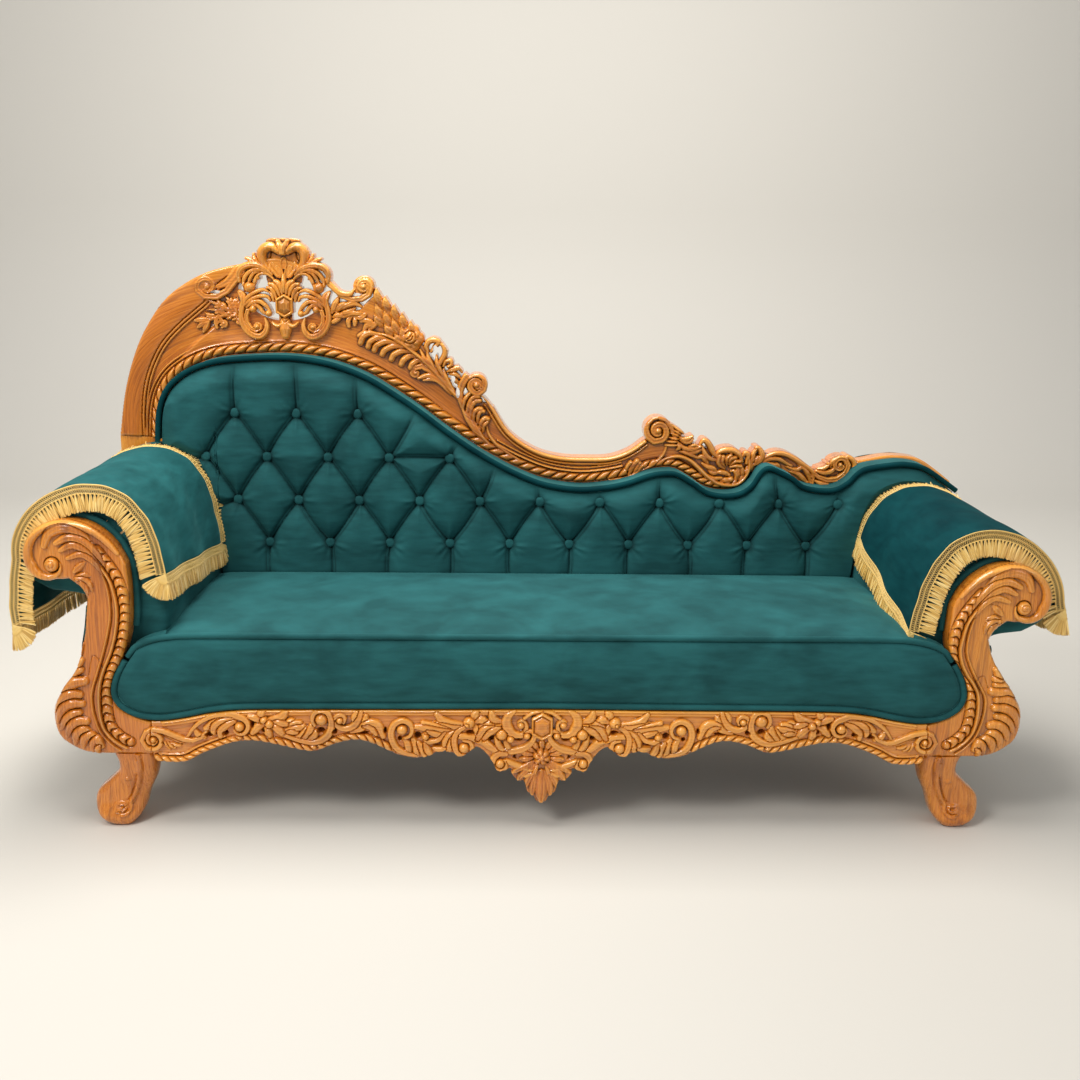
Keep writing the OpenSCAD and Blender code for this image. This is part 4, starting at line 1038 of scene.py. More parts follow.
def slope_leaves(board):
    """Scroll, leaf spray, scaled leaf, plume, rose and curled leaves down the slope."""
    board.stroke(
        smooth([(-519, 1141), (-507, 1126), (-492, 1112), (-476, 1107), (-462, 1109), (-454, 1118)], 5),
        [6, 7, 7, 7.5, 7, 3], [9, 11, 12, 12, 10], -1, hollow=0.25)
    board.volute([(-517, 1132), (-502, 1119), (-484, 1103), (-460, 1095), (-436, 1097), (-419, 1108),
        (-414, 1125)], (-430, 1126), 1.1, 1, [5, 6, 7, 8, 8, 7, 5], [8, 11, 12, 13, 13], -2, 8)

    # the spray below the scroll
    board.blades([0.4, 0.9, 1, 0.8, 0.4], [6, 10, 11, 10, 6], -3,
        (9, (-508, 1063), (-501, 1081), (-491, 1100)), (9, (-499, 1066), (-484, 1081), (-468, 1086)),
        (9, (-493, 1070), (-470, 1082), (-453, 1086), (-436, 1078)),
        (8, (-488, 1061), (-468, 1066), (-452, 1074)),
        (8, (-480, 1053), (-462, 1062), (-447, 1062), (-428, 1060)),
        (8, (-506, 1052), (-493, 1057), (-480, 1053)), (7, (-513, 1037), (-500, 1044), (-486, 1053)),
        vein=1.5, power=0.5)
    for rib in ([(-460, 1055), (-469, 1045), (-468, 1031)], [(-455, 1053), (-453, 1044), (-454, 1035)],
                [(-452, 1055), (-440, 1051), (-428, 1059)]):
        board.stroke(smooth(rib, 5), [3, 6, 6.5, 5], [7, 10, 11, 9], -3, hollow=0.3)
    for rib in ([(-407, 1036), (-425, 1045), (-439, 1043)], [(-405, 1036), (-423, 1034), (-432, 1021)],
                [(-403, 1038), (-412, 1031), (-419, 1024)]):
        board.stroke(smooth(rib, 5), [6, 8, 7, 4], [9, 11, 9, 6], -3, hollow=0.2)

    # the scaled leaf: pointed scales whose tips lie over the ones behind
    for tip, foot, count, step in (
        ((-405, 1058), (-381, 1034), 3, (24.5, -22.5)), ((-401, 1085), (-383, 1048), 4, (20, -18)),
        ((-400, 1122), (-390, 1083), 5, (20.5, -19.3)),
    ):
        for k in range(count):
            a, b = np.array(tip) + k * np.array(step), np.array(foot) + k * np.array(step)
            across = np.array([b[1] - a[1], a[0] - b[0]]) / np.linalg.norm(b - a)
            board.stroke(smooth([b, (a + b) / 2 + 3 * across, a], 6), [7, 11, 11.5, 8, 2],
                         [2, 7, 11, 13, 11], -4, power=0.35, vein=1.6)

    # the plume: long fingers that curl down from its spine to rounded tips
    for root, bend, turn, tip in (
        ((-390, 1009), (-417, 1015), (-434, 1006), (-440, 991)),
        ((-370, 999), (-398, 1004), (-416, 995), (-422, 982)),
        ((-351, 992), (-379, 995), (-401, 986), (-407, 974)),
        ((-335, 982), (-361, 984), (-381, 975), (-388, 964)),
        ((-319, 970), (-341, 972), (-359, 964), (-366, 952)),
        ((-303, 957), (-319, 961), (-335, 952), (-342, 940)),
        ((-288, 945), (-301, 950), (-314, 942), (-319, 932)),
    ):
        board.stroke(smooth([root, bend, turn, tip], 6), [3, 6, 8, 8, 7.5], [7, 10, 13, 14, 13], -4,
                     power=0.45, vein=1.2)
    board.stroke(smooth([(-410, 1016), (-430, 1017), (-445, 1008)], 5), [3, 5, 5], [8, 10, 9], -3)
    board.stroke(smooth([(-410, 1016), (-377, 1010), (-346, 995), (-320, 976), (-297, 958), (-274, 937),
        (-251, 913), (-227, 886), (-204, 861)], 5), [2, 4, 4.5, 5, 5, 6, 7, 6, 4], [8, 12, 13, 13, 12],
        -4)
    board.volute([(-249, 908), (-269, 925), (-291, 936), (-308, 932), (-315, 919)], (-307, 919), 0.6, 1,
                 [5, 8, 8, 7, 5], [12, 13, 12, 11], -4, 5)
    for rib, w in (([(-224, 877), (-249, 901), (-274, 913), (-299, 907)], 8),
                   ([(-220, 868), (-242, 892), (-262, 904), (-287, 902)], 6)):
        board.stroke(smooth(rib, 6), [3, w, w, w, w * 0.6], [8, 12, 13, 12], -4, vein=1.5)

    # the rose
    for turn, r, top in ((0, 34, 9), (36, 29, 13)):
        board.flower((-318, 1003), r, 5, top, -2, turn, heart=0.2)
    board.dome((-318, 1005), 17, 17, -1, power=0.35)
    for line in (
        [(-330, 1015), (-321, 1022), (-308, 1018), (-305, 1005)],
        [(-327, 1002), (-319, 1008), (-314, 1015)], [(-331, 995), (-317, 991), (-306, 998)],
        [(-324, 998), (-315, 1002), (-312, 1010)],
    ):
        board.groove(smooth(line, 5), 1.5, 5)

    # pierced curls and leaves right of the rose, and the stems that they grow from
    board.stroke(smooth([(-276, 972), (-280, 985), (-274, 996), (-263, 1000), (-250, 995), (-260, 983),
                         (-268, 972)], 6), [4, 7, 8, 8, 7, 6, 4], [9, 11, 13, 13, 12, 9], -4, vein=1.2)
    board.stroke(smooth([(-249, 994), (-237, 983), (-235, 966), (-245, 947), (-251, 932)], 6),
                 [4, 7, 8, 7, 4], [11, 13, 13, 11, 8], -4, vein=1.2)
    board.stroke(smooth([(-238, 937), (-232, 949), (-221, 950), (-219, 941), (-227, 936)], 5),
                 [4, 6, 7, 6, 5], [9, 12, 13, 12], -4)
    board.blades([0.4, 0.9, 1, 0.8, 0.4], [7, 12, 13, 11, 7], -4,
        (8, (-229, 923), (-215, 929), (-200, 932), (-193, 922)),
        (7, (-224, 917), (-209, 917), (-195, 906)), (7, (-222, 906), (-209, 903), (-200, 891)),
        (6, (-295, 976), (-284, 954), (-267, 930), (-247, 905)),
        (7, (-278, 972), (-273, 950), (-260, 928), (-240, 903)),
        (7, (-255, 963), (-254, 945), (-246, 926), (-231, 901)),
        (7, (-238, 930), (-233, 912), (-222, 888), (-204, 861)),
        (6, (-260, 925), (-240, 903), (-220, 877), (-200, 852)), vein=1.5, power=0.45)

    # the large scroll at the foot of the slope
    board.volute([(-192, 838), (-197, 856), (-198, 875), (-192, 894), (-181, 911), (-165, 919),
        (-149, 919), (-138, 910), (-135, 895), (-140, 881), (-152, 872)], (-157, 892), 1.0, -1,
        [6, 9, 11, 11, 10, 9, 8, 6], [8, 12, 15, 15, 14, 14, 15], -2, 9, hollow=0.25, shrink=0.36)
    board.blades([0.6, 0.9, 1, 0.9], [8, 11, 13, 12], -3, (6, (-191, 830), (-186, 855), (-173, 871)),
        (7, (-181, 821), (-175, 846), (-165, 861), (-151, 863)),
        (7, (-173, 813), (-169, 838), (-160, 851), (-148, 853)),
        (7, (-165, 801), (-163, 822), (-154, 832), (-145, 832)),
        (6, (-154, 797), (-152, 818), (-144, 827), (-139, 826)),
        (7, (-148, 782), (-145, 799), (-136, 809), (-128, 807)),
        (6, (-140, 776), (-138, 791), (-130, 800)), vein=1.0, power=0.45)
    for rib in (
        [(-194, 838), (-181, 809), (-160, 776), (-140, 750)],
        [(-181, 826), (-169, 797), (-152, 770), (-135, 747)],
        [(-165, 805), (-154, 782), (-140, 759), (-123, 743)],
    ):
        board.stroke(smooth(rib, 6), [3, 6, 6, 4], [8, 12, 12, 9], -3, vein=1.0)
    board.stroke(smooth([(-131, 789), (-125, 768), (-106, 743), (-77, 722), (-48, 704)], 6), [3, 5, 5, 4],
                 [7, 9, 9, 8], -2)


def dip_ends(board):
    """The second scroll, its fluted wing and the leaf where the dip's bands end."""
    board.volute([(344, 762), (335, 773), (330, 789), (317, 810), (296, 820), (280, 817), (267, 803),
        (264, 786), (271, 768), (287, 756), (306, 760)], (296, 783), 1.0, 1,
        [4, 7, 9, 10, 10, 9, 9, 8, 6], [8, 11, 14, 15, 15, 15, 15, 16], -1, 10, hollow=0.25, shrink=0.36)
    for rib in ([(330, 798), (345, 787), (360, 777)], [(330, 787), (343, 780), (354, 773)],
                [(329, 777), (341, 773), (350, 768)], [(325, 766), (337, 763), (349, 762)],
                [(319, 757), (333, 755), (347, 756)], [(315, 747), (332, 746), (347, 747)]):
        board.stroke(smooth(rib, 5), [3, 4.2, 4.6, 3], [8, 10, 11, 8], -1)
    board.blades([0.5, 1, 1, 0.6], [8, 12, 12, 9], -2,
        (7, (350, 768), (360, 762), (373, 763), (383, 769)),
        (6, (352, 760), (367, 754), (379, 756), (384, 763)),
        (7, (350, 752), (365, 739), (386, 737), (405, 744)), (5, (374, 743), (386, 747), (397, 746)),
        (6, (345, 735), (351, 741), (348, 752)), vein=1.3, power=0.45)
    for rib in ([(256, 680), (287, 697), (310, 721), (319, 743)], [(177, 657), (219, 661), (254, 681)]):
        board.stroke(smooth(rib, 6), [2, 4.5, 4.5, 3.5], [4, 8, 8, 7], -1)
    board.blades([0.5, 0.9, 1], [6, 10, 11], -1, (8, (227, 670), (235, 691), (246, 705)),
        (6, (238, 672), (248, 691), (253, 700)), (5, (246, 672), (254, 687), (260, 694)),
        (6, (217, 672), (222, 691), (230, 702)), steps=5, vein=1.0)


def right_leaves(board):
    """The double curve, shell, leaf sprays, drape and small scroll of the crest's right end."""
    board.h -= 4.0 * np.exp(-(np.maximum(0, np.abs(board.x[:, None] - 560) - 190) / 30) ** 2) * (
        board.edge > 9) * (board.h < 1)
    board.stroke(smooth([(302, 704), (324, 714), (352, 718), (378, 709), (401, 690), (423, 669),
        (446, 653), (473, 646), (501, 649), (520, 666), (530, 690), (528, 713), (519, 726)], 5),
        [3, 5, 5.5, 6, 6, 5.5, 5, 5, 4], [7, 10, 12, 12, 12, 11, 10], -2, power=0.45)
    board.blades([0.5, 1, 1, 0.7], [8, 12, 12, 9], -3,
        (8, (403, 748), (412, 759), (422, 754), (431, 742), (439, 727), (450, 715)),
        (7, (409, 744), (416, 727), (429, 714), (446, 710)), (6, (353, 731), (370, 727), (396, 716)),
        (6, (372, 731), (389, 729), (405, 735)), (7, (396, 714), (410, 718), (424, 702)),
        (7, (411, 701), (424, 693), (441, 687), (447, 676)), (6, (427, 685), (440, 676), (450, 678)),
        (7, (446, 678), (463, 679), (480, 672)), (6, (425, 672), (440, 663), (461, 664)),
        (6, (484, 681), (492, 683), (499, 673), (497, 660)), (8, (461, 659), (474, 659), (485, 662)),
        (6, (512, 666), (513, 681), (508, 698)), (6, (504, 662), (503, 679), (498, 694)),
        (7, (510, 715), (518, 728), (526, 722), (523, 703)), vein=1.2, power=0.45)
    board.dome((484, 661), 8.5, 13, -2)
    # the shell: curved ribs that fan out below its rolled edge
    for rib, w in (
        ([(469, 687), (456, 696), (451, 708), (454, 721)], 7), ([(470, 691), (461, 704), (463, 719)], 7),
        ([(473, 696), (472, 713), (482, 723)], 7), ([(478, 698), (482, 713), (494, 717)], 7),
        ([(481, 696), (493, 707), (505, 707)], 6), ([(481, 692), (496, 696), (508, 694)], 6),
    ):
        board.stroke(smooth(rib, 6), [2, w * 0.8, w, w * 0.9], [8, 12, 14, 13], -3, power=0.45)
    board.stroke(smooth([(447, 717), (450, 729), (466, 735), (487, 734), (504, 723), (511, 707)], 6),
                 [5, 8, 9, 8, 5], [9, 13, 14, 13, 10], -3)

    for rib, w, top in (
        ([(540, 697), (557, 711), (561, 725), (553, 740), (545, 742)], 8, 12),
        ([(531, 695), (537, 711), (539, 727), (547, 739)], 7, 11),
        ([(552, 699), (571, 718), (594, 728), (619, 726), (645, 714), (669, 698), (689, 684), (694, 669),
          (693, 650)], 7, 12),
        ([(557, 695), (576, 712), (602, 714), (625, 702), (637, 697)], 6, 11),
        ([(552, 693), (572, 702), (593, 699), (608, 686)], 5, 10),
        ([(608, 691), (602, 700), (593, 702)], 4, 9),
        ([(626, 694), (649, 687), (665, 693), (677, 680), (685, 664), (689, 650)], 6, 11),
        ([(636, 682), (654, 677), (669, 664), (680, 654)], 7, 10),
        ([(653, 701), (672, 687), (690, 668)], 5, 12),
    ):
        board.stroke(smooth(rib, 6), [w * 0.5, w, w, w * 0.6], [top * 0.7, top, top, top * 0.7], -3,
                     vein=1.2, power=0.45)
    board.volute([(695, 678), (707, 669), (729, 661), (756, 664), (774, 680), (780, 700), (772, 714)],
                 (759, 701), 0.8, 1, [5, 7, 8, 8, 8, 7, 5], [8, 12, 13, 13, 13], -1, 7)
    board.blades([0.5, 1, 1, 0.6], [8, 12, 12, 9], -2,
        (7, (700, 685), (721, 680), (739, 685), (748, 697)),
        (6, (704, 690), (720, 692), (731, 702), (727, 704)),
        (7, (736, 695), (740, 709), (753, 716), (763, 713)),
        (7, (765, 716), (778, 721), (792, 711), (796, 697), (784, 674)),
        (7, (699, 659), (716, 652), (740, 648)), (5, (735, 648), (753, 655), (762, 660)), vein=1.2,
        power=0.45)


class DIVAN_OT_crest(bpy.types.Operator):
    """Carved crest rail with its roped inner edge, and the pierced cartouche on it"""

    bl_idname = "divan.crest"
    bl_label = "Crest rail"

    def execute(self, context):
        inner, outer = crest_inner(0), crest_outer()
        outline = np.concatenate([crest_inner(28), outer[::-1]])
        board = Relief(outline, 1.6, reach=52)
        carve_crest(board, inner, outer)
        # the leafy stretches end at their own forms, and the two scrolls stand out: how far in
        # from its edge the board is open between the forms, along X
        open_to = [(-549, 0), (-541, 48), (-440, 48), (-410, 24), (-340, 22), (-250, 34), (-190, 34),
                   (-150, 22), (-128, 6), (-112, 0), (262, 0), (300, 20), (330, 26), (380, 16), (440, 12),
                   (520, 16), (600, 11), (700, 12), (740, 20), (790, 18), (805, 0)]
        depth = np.interp(board.x, *zip(*open_to))[:, None]
        free = np.where(depth > 1, np.maximum(board.cover, board.edge - depth), board.edge)
        board.edge = np.where(board.edge > -12, free, board.edge)
        for centre, r in (((-430, 1126), 26), ((-157, 892), 28), ((296, 783), 36)):
            board.union(centre, r)
        board.round(5)
        # open places: behind the cartouche, and between the curled leaves of the slope
        for place in ((CARTOUCHE_X, 1104, 92, 62), (-258, 977, 6, 11), (-215, 906, 6, 8),
                      (-203, 872, 5, 13), (-788, 1109, 12, 4), (-447, 1107, 9, 4), (-728, 1108, 7, 22)):
            board.hole(*place)
        # the rail is two boards, which meet where the dip begins
        split = -60.0
        for name, span in (("crest_head", (-1200, split)), ("crest_foot", (split, 1200))):
            made = board.piece(name, CREST_FACE, CREST_BACK, span=span)
            settle(made, "carved", "carved_wood", "crest_rail")
        self.cartouche()
        return {"FINISHED"}

    def cartouche(self):
        """The shell under a rolled arch, over a jewel between scrolled arms."""
        half = smooth([(0, 1238), (34, 1236), (66, 1218), (96, 1200), (120, 1170), (122, 1130),
                       (118, 1110), (114, 1060), (112, 1022), (88, 996), (52, 990), (24, 1000),
                       (0, 992)], 6)
        board = Relief(both(half) + [CARTOUCHE_X, 0], 1.2)
        board.grain = [np.broadcast_to(board.z[None, :], board.count),
                       np.broadcast_to(board.x[:, None], board.count)]
        board.h -= 10.0
        board.origin = np.array([CARTOUCHE_X, 0.0])
        for hand in (1, -1):
            board.hand = hand
            # the rolled arch, its two leaf tips and the shell in its shade
            board.stroke(smooth([(11, 1208), (22, 1215), (34, 1218), (46, 1211), (51, 1200), (50, 1186),
                                 (44, 1174), (32, 1164)], 6), [9, 11, 12, 12, 11, 9, 6],
                         [20, 22, 22, 20, 17, 13, 9], -6, power=0.5)
            board.groove(smooth([(26, 1211), (30, 1203), (32, 1192), (38, 1182)], 5), 1.6, 5)
            board.groove(smooth([(16, 1201), (22, 1205), (30, 1208)], 5), 1.4, 4)
            board.stroke(smooth([(3, 1203), (4, 1215), (9, 1226), (11, 1231)], 5), [6, 8.5, 8, 5],
                         [22, 23, 22, 18], -4, vein=1.5)
            board.stroke(smooth([(0, 1144), (-4, 1162), (-7, 1178), (-4, 1189), (0, 1192)], 5), 2.2,
                         [7, 8, 8, 7], -7)
            board.stroke(smooth([(6, 1146), (10, 1160), (15, 1171)], 5), [3, 6, 5.5], [7, 9, 8], -8,
                         hollow=0.4)
            board.stroke(smooth([(11, 1146), (20, 1162), (27, 1178)], 5), [3, 5, 5.5], [8, 9, 8], -8,
                         hollow=0.4)
            board.stroke(smooth([(15, 1148), (28, 1164), (32, 1174)], 5), [4, 6, 5], [10, 12, 10], -8)
            # leaves behind the arch
            for rib, w, top in (
                ([(43, 1168), (53, 1182), (58, 1196), (60, 1207)], 7, 13),
                ([(49, 1168), (63, 1182), (70, 1194), (71, 1200)], 7, 12),
                ([(53, 1166), (71, 1180), (83, 1188), (89, 1190)], 8, 12),
            ):
                board.stroke(smooth(rib, 5), [w * 0.7, w, w * 0.9, w * 0.5], [top, top, top, 8], -6,
                             vein=1.2)
            # the large side leaf, which rolls over outwards, and the ball of its curl
            for rib, w, top in (
                ([(28, 1152), (43, 1166), (65, 1174), (87, 1173), (102, 1164), (108, 1150), (106, 1136)],
                  9, 17),
                ([(32, 1148), (49, 1162), (69, 1163), (85, 1154), (95, 1140), (97, 1126)], 6.5, 16),
                ([(53, 1160), (69, 1156), (79, 1144), (85, 1130)], 5.5, 15),
                ([(55, 1156), (63, 1148), (69, 1136), (73, 1124)], 5.5, 14),
            ):
                board.stroke(smooth(rib, 6), [3, w * 0.8, w, w, w * 0.9, w * 0.6],
                             [top * 0.7, top, top, top, top * 0.9, top * 0.7], -5, vein=1.6, power=0.45)
            board.dome((83, 1122), 14, 17, -5)
            board.groove(smooth([(71, 1130), (78, 1133), (85, 1130)], 4), 1.3, 3)
            board.stroke(smooth([(25, 1142), (36, 1152), (50, 1155), (60, 1150), (60, 1142)], 6),
                         [3, 4.5, 5, 4.5, 3], [10, 13, 14, 13], -5)
            # the leaves that open over the jewel, and the bud between them
            for rib, w, top in (
                ([(5, 1108), (7, 1122), (14, 1133), (22, 1137)], 7, 14),
                ([(12, 1104), (17, 1118), (26, 1128), (35, 1130)], 6.5, 14),
                ([(20, 1098), (24, 1110), (32, 1120), (40, 1121)], 6, 13),
                ([(26, 1090), (29, 1104), (34, 1110)], 5, 11),
            ):
                board.stroke(smooth(rib, 6), [4, w, w * 1.05, w * 0.7], [top * 0.8, top, top, top * 0.8],
                             -5, vein=1.3, power=0.45)
            # arms from the outer stem to the jewel
            for rib, w, top in (
                ([(100, 1082), (85, 1100), (67, 1111), (51, 1116), (38, 1112)], 6, 14),
                ([(97, 1078), (77, 1094), (57, 1101), (40, 1099), (34, 1090)], 6, 14),
                ([(91, 1074), (75, 1086), (59, 1088), (45, 1078), (36, 1066)], 6.5, 15),
                ([(85, 1068), (71, 1080), (60, 1074), (51, 1062), (40, 1058)], 6, 14),
            ):
                board.stroke(smooth(rib, 6), [4, w, w, w * 0.9, w * 0.55], [10, top, top, top, 9], -5,
                             vein=1.5, power=0.45)
            board.dome((39, 1060), 8.5, 16, -5)
            board.dome((76, 1070), 9.5, 17, -5)
            # the outer stem with its bud, and the scroll it ends in
            board.stroke(smooth([(108, 1112), (98, 1102), (100, 1084), (105, 1062), (104, 1042),
                                 (95, 1022), (79, 1008), (61, 1005), (48, 1016), (44, 1032), (48, 1048)],
                                6), [4, 8, 7, 7, 8, 9, 9, 9, 8, 6, 3],
                         [9, 13, 13, 13, 14, 15, 15, 15, 14, 12, 8], -5, hollow=0.2, power=0.45)
            board.stroke(smooth([(110, 1110), (103, 1096), (101, 1082)], 4), [3, 5, 4], [10, 13, 12], -5)
            board.volute([(89, 1066), (93, 1054), (92, 1038), (83, 1024), (71, 1018), (60, 1024)],
                         (67, 1028), 0.9, -1, [6, 6, 5.5, 5.5, 5, 4], [13, 14, 14, 14, 15], -5, 8)
            # the bell below the jewel
            board.stroke(smooth([(6, 1036), (16, 1030), (24, 1032), (31, 1038)], 5), [5, 6, 5, 3],
                         [11, 13, 12, 9], -5)
        board.hand = 1
        board.stroke(smooth([(0, 1151), (0, 1140), (0, 1130), (0, 1112)], 5), [4, 7, 6, 4],
                     [12, 16, 17, 14], -5)
        board.stroke(smooth([(0, 1038), (0, 1022), (0, 1008)], 5), [13, 16, 11], [12, 15, 12], -5,
                     vein=1.0)
        board.groove(smooth([(-18, 1059), (-10, 1052), (1, 1040), (12, 1052), (20, 1059)], 4), 1.5, 4)
        board.jewel(0, 1078, 21, 29, 18, -5)
        board.origin = np.zeros(2)
        # pierced between the forms, but solid behind the arch, the jewel and the bell
        keep = np.full(board.count, -9.0)
        for low, high, r in ((1150, 1215, 44), (1010, 1110, 16)):
            window, d, _, _, _ = board.near([(CARTOUCHE_X, low), (CARTOUCHE_X, high)], 60)
            keep[window] = np.maximum(keep[window], r - d)
        board.edge = np.minimum(board.edge, np.maximum(board.cover, keep))
        board.round(3)
        made = board.piece("carved_cartouche", CARTOUCHE_FACE, CARTOUCHE_BACK)
        settle(made, "carved", "carved_wood", "crest_cartouche")


def carve_apron(board):
    """Half of the apron's carving, drawn once for each end."""
    bottom = smooth([(x, RAIL_BOTTOM - drop) for x, drop in APRON_LOW] + APRON_END, 6)
    for hand in (1, -1):
        board.hand = hand
        top = smooth(PANEL_LOW, 8)
        board.stroke(spaced(beside(top, -9.5), 8), 3.2, 3, 0)
        board.stroke(spaced(beside(top, -3.5), 8), 3, 4.5, 0)
        for a, b, r, pitch in ((318, 478, 8, 19), (484, 640, 8, 19), (640, 826, 7, 17)):
            run = bottom[(bottom[:, 0] > a) & (bottom[:, 0] < b)]
            board.rope(spaced(beside(run, r + 1), 5), r, pitch, 12, -4)
        board.stroke(spaced(beside(bottom[bottom[:, 0] > 660], 19.5), 6), 3, 6, -3)
        # bars and large stems that lie lowest
        for line, w in (([(175, 213), (151, 210), (127, 202), (108, 187), (92, 176)], 8),
                        ([(96, 210), (92, 193), (79, 179), (68, 176)], 6.5),
                        ([(74, 156), (54, 147), (35, 140), (19, 133)], 6.5),
                        ([(49, 124), (33, 124), (17, 130)], 6), ([(39, 253), (21, 267), (2, 272)], 4),
                        ([(744, 199), (762, 196), (782, 204), (800, 212)], 3)):
            board.stroke(smooth(line, 6), w * np.array([1, 1.2, 1.2, 1]), 11, -3, power=0.4)

        # leaves: an acanthus fan, the flowers' petals and the leaves under the scrolls
        board.blades([0.75, 1.1, 1.25, 1.2, 0.85], [8, 11, 12, 10], -3,
            (8, (172, 240), (191, 241), (212, 249), (224, 263)), (7, (177, 234), (199, 235), (228, 242)),
            (7, (196, 228), (217, 234), (236, 238), (253, 244)),
            (8, (196, 224), (223, 227), (244, 231), (268, 234)),
            (7, (196, 220), (212, 215), (231, 220), (244, 224)),
            (6, (207, 221), (223, 204), (241, 201), (252, 212), (247, 219)),
            (7.5, (183, 225), (196, 215), (205, 201), (207, 186)),
            (7.5, (180, 221), (191, 204), (196, 190), (202, 174)),
            (7, (293, 206), (286, 195), (283, 176)), (7.5, (275, 205), (268, 189), (267, 170)),
            (7.5, (263, 197), (255, 184), (250, 168)), (7, (249, 195), (244, 181), (236, 170)),
            (6, (231, 185), (217, 183), (207, 185)), (9, (146, 253), (143, 260), (140, 267)),
            (9, (138, 247), (130, 250), (120, 247)), (8, (143, 236), (138, 227), (135, 217)),
            (9, (130, 234), (108, 241), (79, 244)), (8.5, (137, 207), (124, 227), (103, 234)),
            (7.5, (124, 207), (111, 222), (92, 233)), (8, (90, 247), (103, 253), (108, 267)),
            (6, (79, 205), (73, 190), (67, 180)), (6.5, (393, 235), (398, 254), (391, 269)),
            (6.5, (390, 234), (378, 244), (373, 259)),
            (8, (405, 223), (388, 227), (374, 240), (357, 242), (346, 234), (338, 212)),
            (6, (379, 235), (364, 232), (353, 217)), (6.5, (544, 235), (536, 244), (523, 245)),
            (7, (543, 230), (529, 239), (513, 242)), (7.5, (542, 225), (524, 230), (506, 234)),
            (6, (541, 220), (532, 222), (520, 220)), (7, (523, 208), (508, 215), (501, 229)),
            (8, (509, 204), (495, 218), (489, 236)), (7, (497, 202), (485, 212), (480, 222)),
            (8, (589, 251), (595, 260), (590, 270)),
            (8.5, (578, 248), (561, 252), (550, 257), (542, 268)),
            (8, (571, 241), (557, 242), (542, 239)), (8.5, (573, 234), (562, 229), (550, 216)),
            (8, (580, 233), (582, 224), (578, 213)), (8, (590, 238), (602, 233), (614, 219)),
            (7.5, (594, 245), (604, 251), (619, 256)),
            (8, (650, 254), (673, 249), (694, 241), (712, 228)), (6, (736, 226), (728, 214), (716, 208)),
            (7.5, (650, 250), (679, 244), (694, 234), (697, 218)),
            (7.5, (652, 244), (667, 237), (680, 225), (682, 211)), vein=1.4, power=0.45)

        # scrolls, each wound round its ball
        for line, widths, centre, r in (
            ([(58, 271), (73, 257), (75, 239), (64, 221), (47, 216), (36, 223), (34, 239), (42, 249),
              (50, 245)], [3, 7, 9, 9, 7, 5.5, 4.5, 4, 3], (45, 239), 7),
            ([(79, 176), (60, 180), (39, 186), (23, 199), (16, 215), (24, 226), (35, 222)],
             [5, 6.5, 7, 6, 5, 4, 3.5], (32, 215), 7),
            ([(77, 173), (93, 173), (104, 160), (101, 141), (88, 133), (77, 143), (80, 156)],
             [5, 6.5, 6, 5.5, 5.5, 5, 4], (89, 151), 9),
            ([(163, 234), (179, 224), (187, 207), (185, 187), (175, 171), (160, 171), (149, 184),
              (153, 200), (167, 204)], [3, 5, 5.5, 5.5, 5.5, 5, 5, 4, 3], (166, 186), 10),
            ([(268, 169), (289, 174), (308, 184), (318, 201), (321, 221), (314, 239), (298, 248),
              (282, 242), (276, 228), (281, 214), (292, 209)],
             [3, 4.5, 5.5, 6, 6, 6, 5.5, 5, 4.5, 3.5, 2.5], (298, 227), 10),
            ([(384, 266), (389, 251), (400, 236), (415, 230), (430, 233), (439, 245), (437, 257),
              (426, 261), (418, 253), (421, 243)], [4.5, 5.5, 6.5, 6, 5.5, 5, 4.5, 4, 3.5, 3],
             (429, 248), 7),
            ([(547, 213), (530, 207), (509, 201), (488, 198), (469, 203), (455, 214), (448, 229),
              (447, 247), (454, 265), (468, 270), (482, 264), (487, 249), (482, 237)],
             [3, 4, 4.5, 5, 6, 6.5, 6.5, 6, 5.5, 5, 4.5, 4, 3], (468, 249), 11.5),
            ([(752, 208), (738, 229), (718, 246), (692, 258), (661, 262), (645, 257), (630, 250),
              (622, 236), (628, 221), (640, 216), (650, 222), (652, 232)],
             [2.5, 3, 3.5, 4, 4.5, 5.5, 6, 6, 5, 4, 3, 2], (641, 232), 9),
        ):
            board.stroke(smooth(line, 6), 1.3 * np.array(widths), [9, 12, 13, 13, 13, 12], -3,
                         hollow=0.22, power=0.42)
            board.dome(centre, 1.2 * r, 16, -3)
        for centre, r in (((86, 217), 13), ((67, 207), 9), ((155, 244), 13), ((248, 212), 8),
                          ((589, 248), 9), ((578, 239), 10)):
            board.dome(centre, r, 16, -3)
        board.dome((159, 240), 5, 16, 0)
        end_scroll(board)

        # holes between the forms
        for cx, cz, rx, rz in ((50, 206, 8, 4), (49, 165, 14, 5), (108, 209, 5, 6), (153, 221, 9, 4),
                               (225, 195, 9, 3), (265, 214, 7, 7), (303, 206, 4, 5), (381, 219, 12, 3),
                               (441, 222, 5, 5), (470, 224, 8, 6), (591, 224, 4, 4), (614, 238, 4, 8),
                               (706, 214, 9, 5), (672, 218, 6, 5), (334, 225, 3, 6)):
            board.hole(hand * cx, cz, rx, rz)
    board.hand = 1
    board.jewel(0, 237, 23, 32, 16, -2)


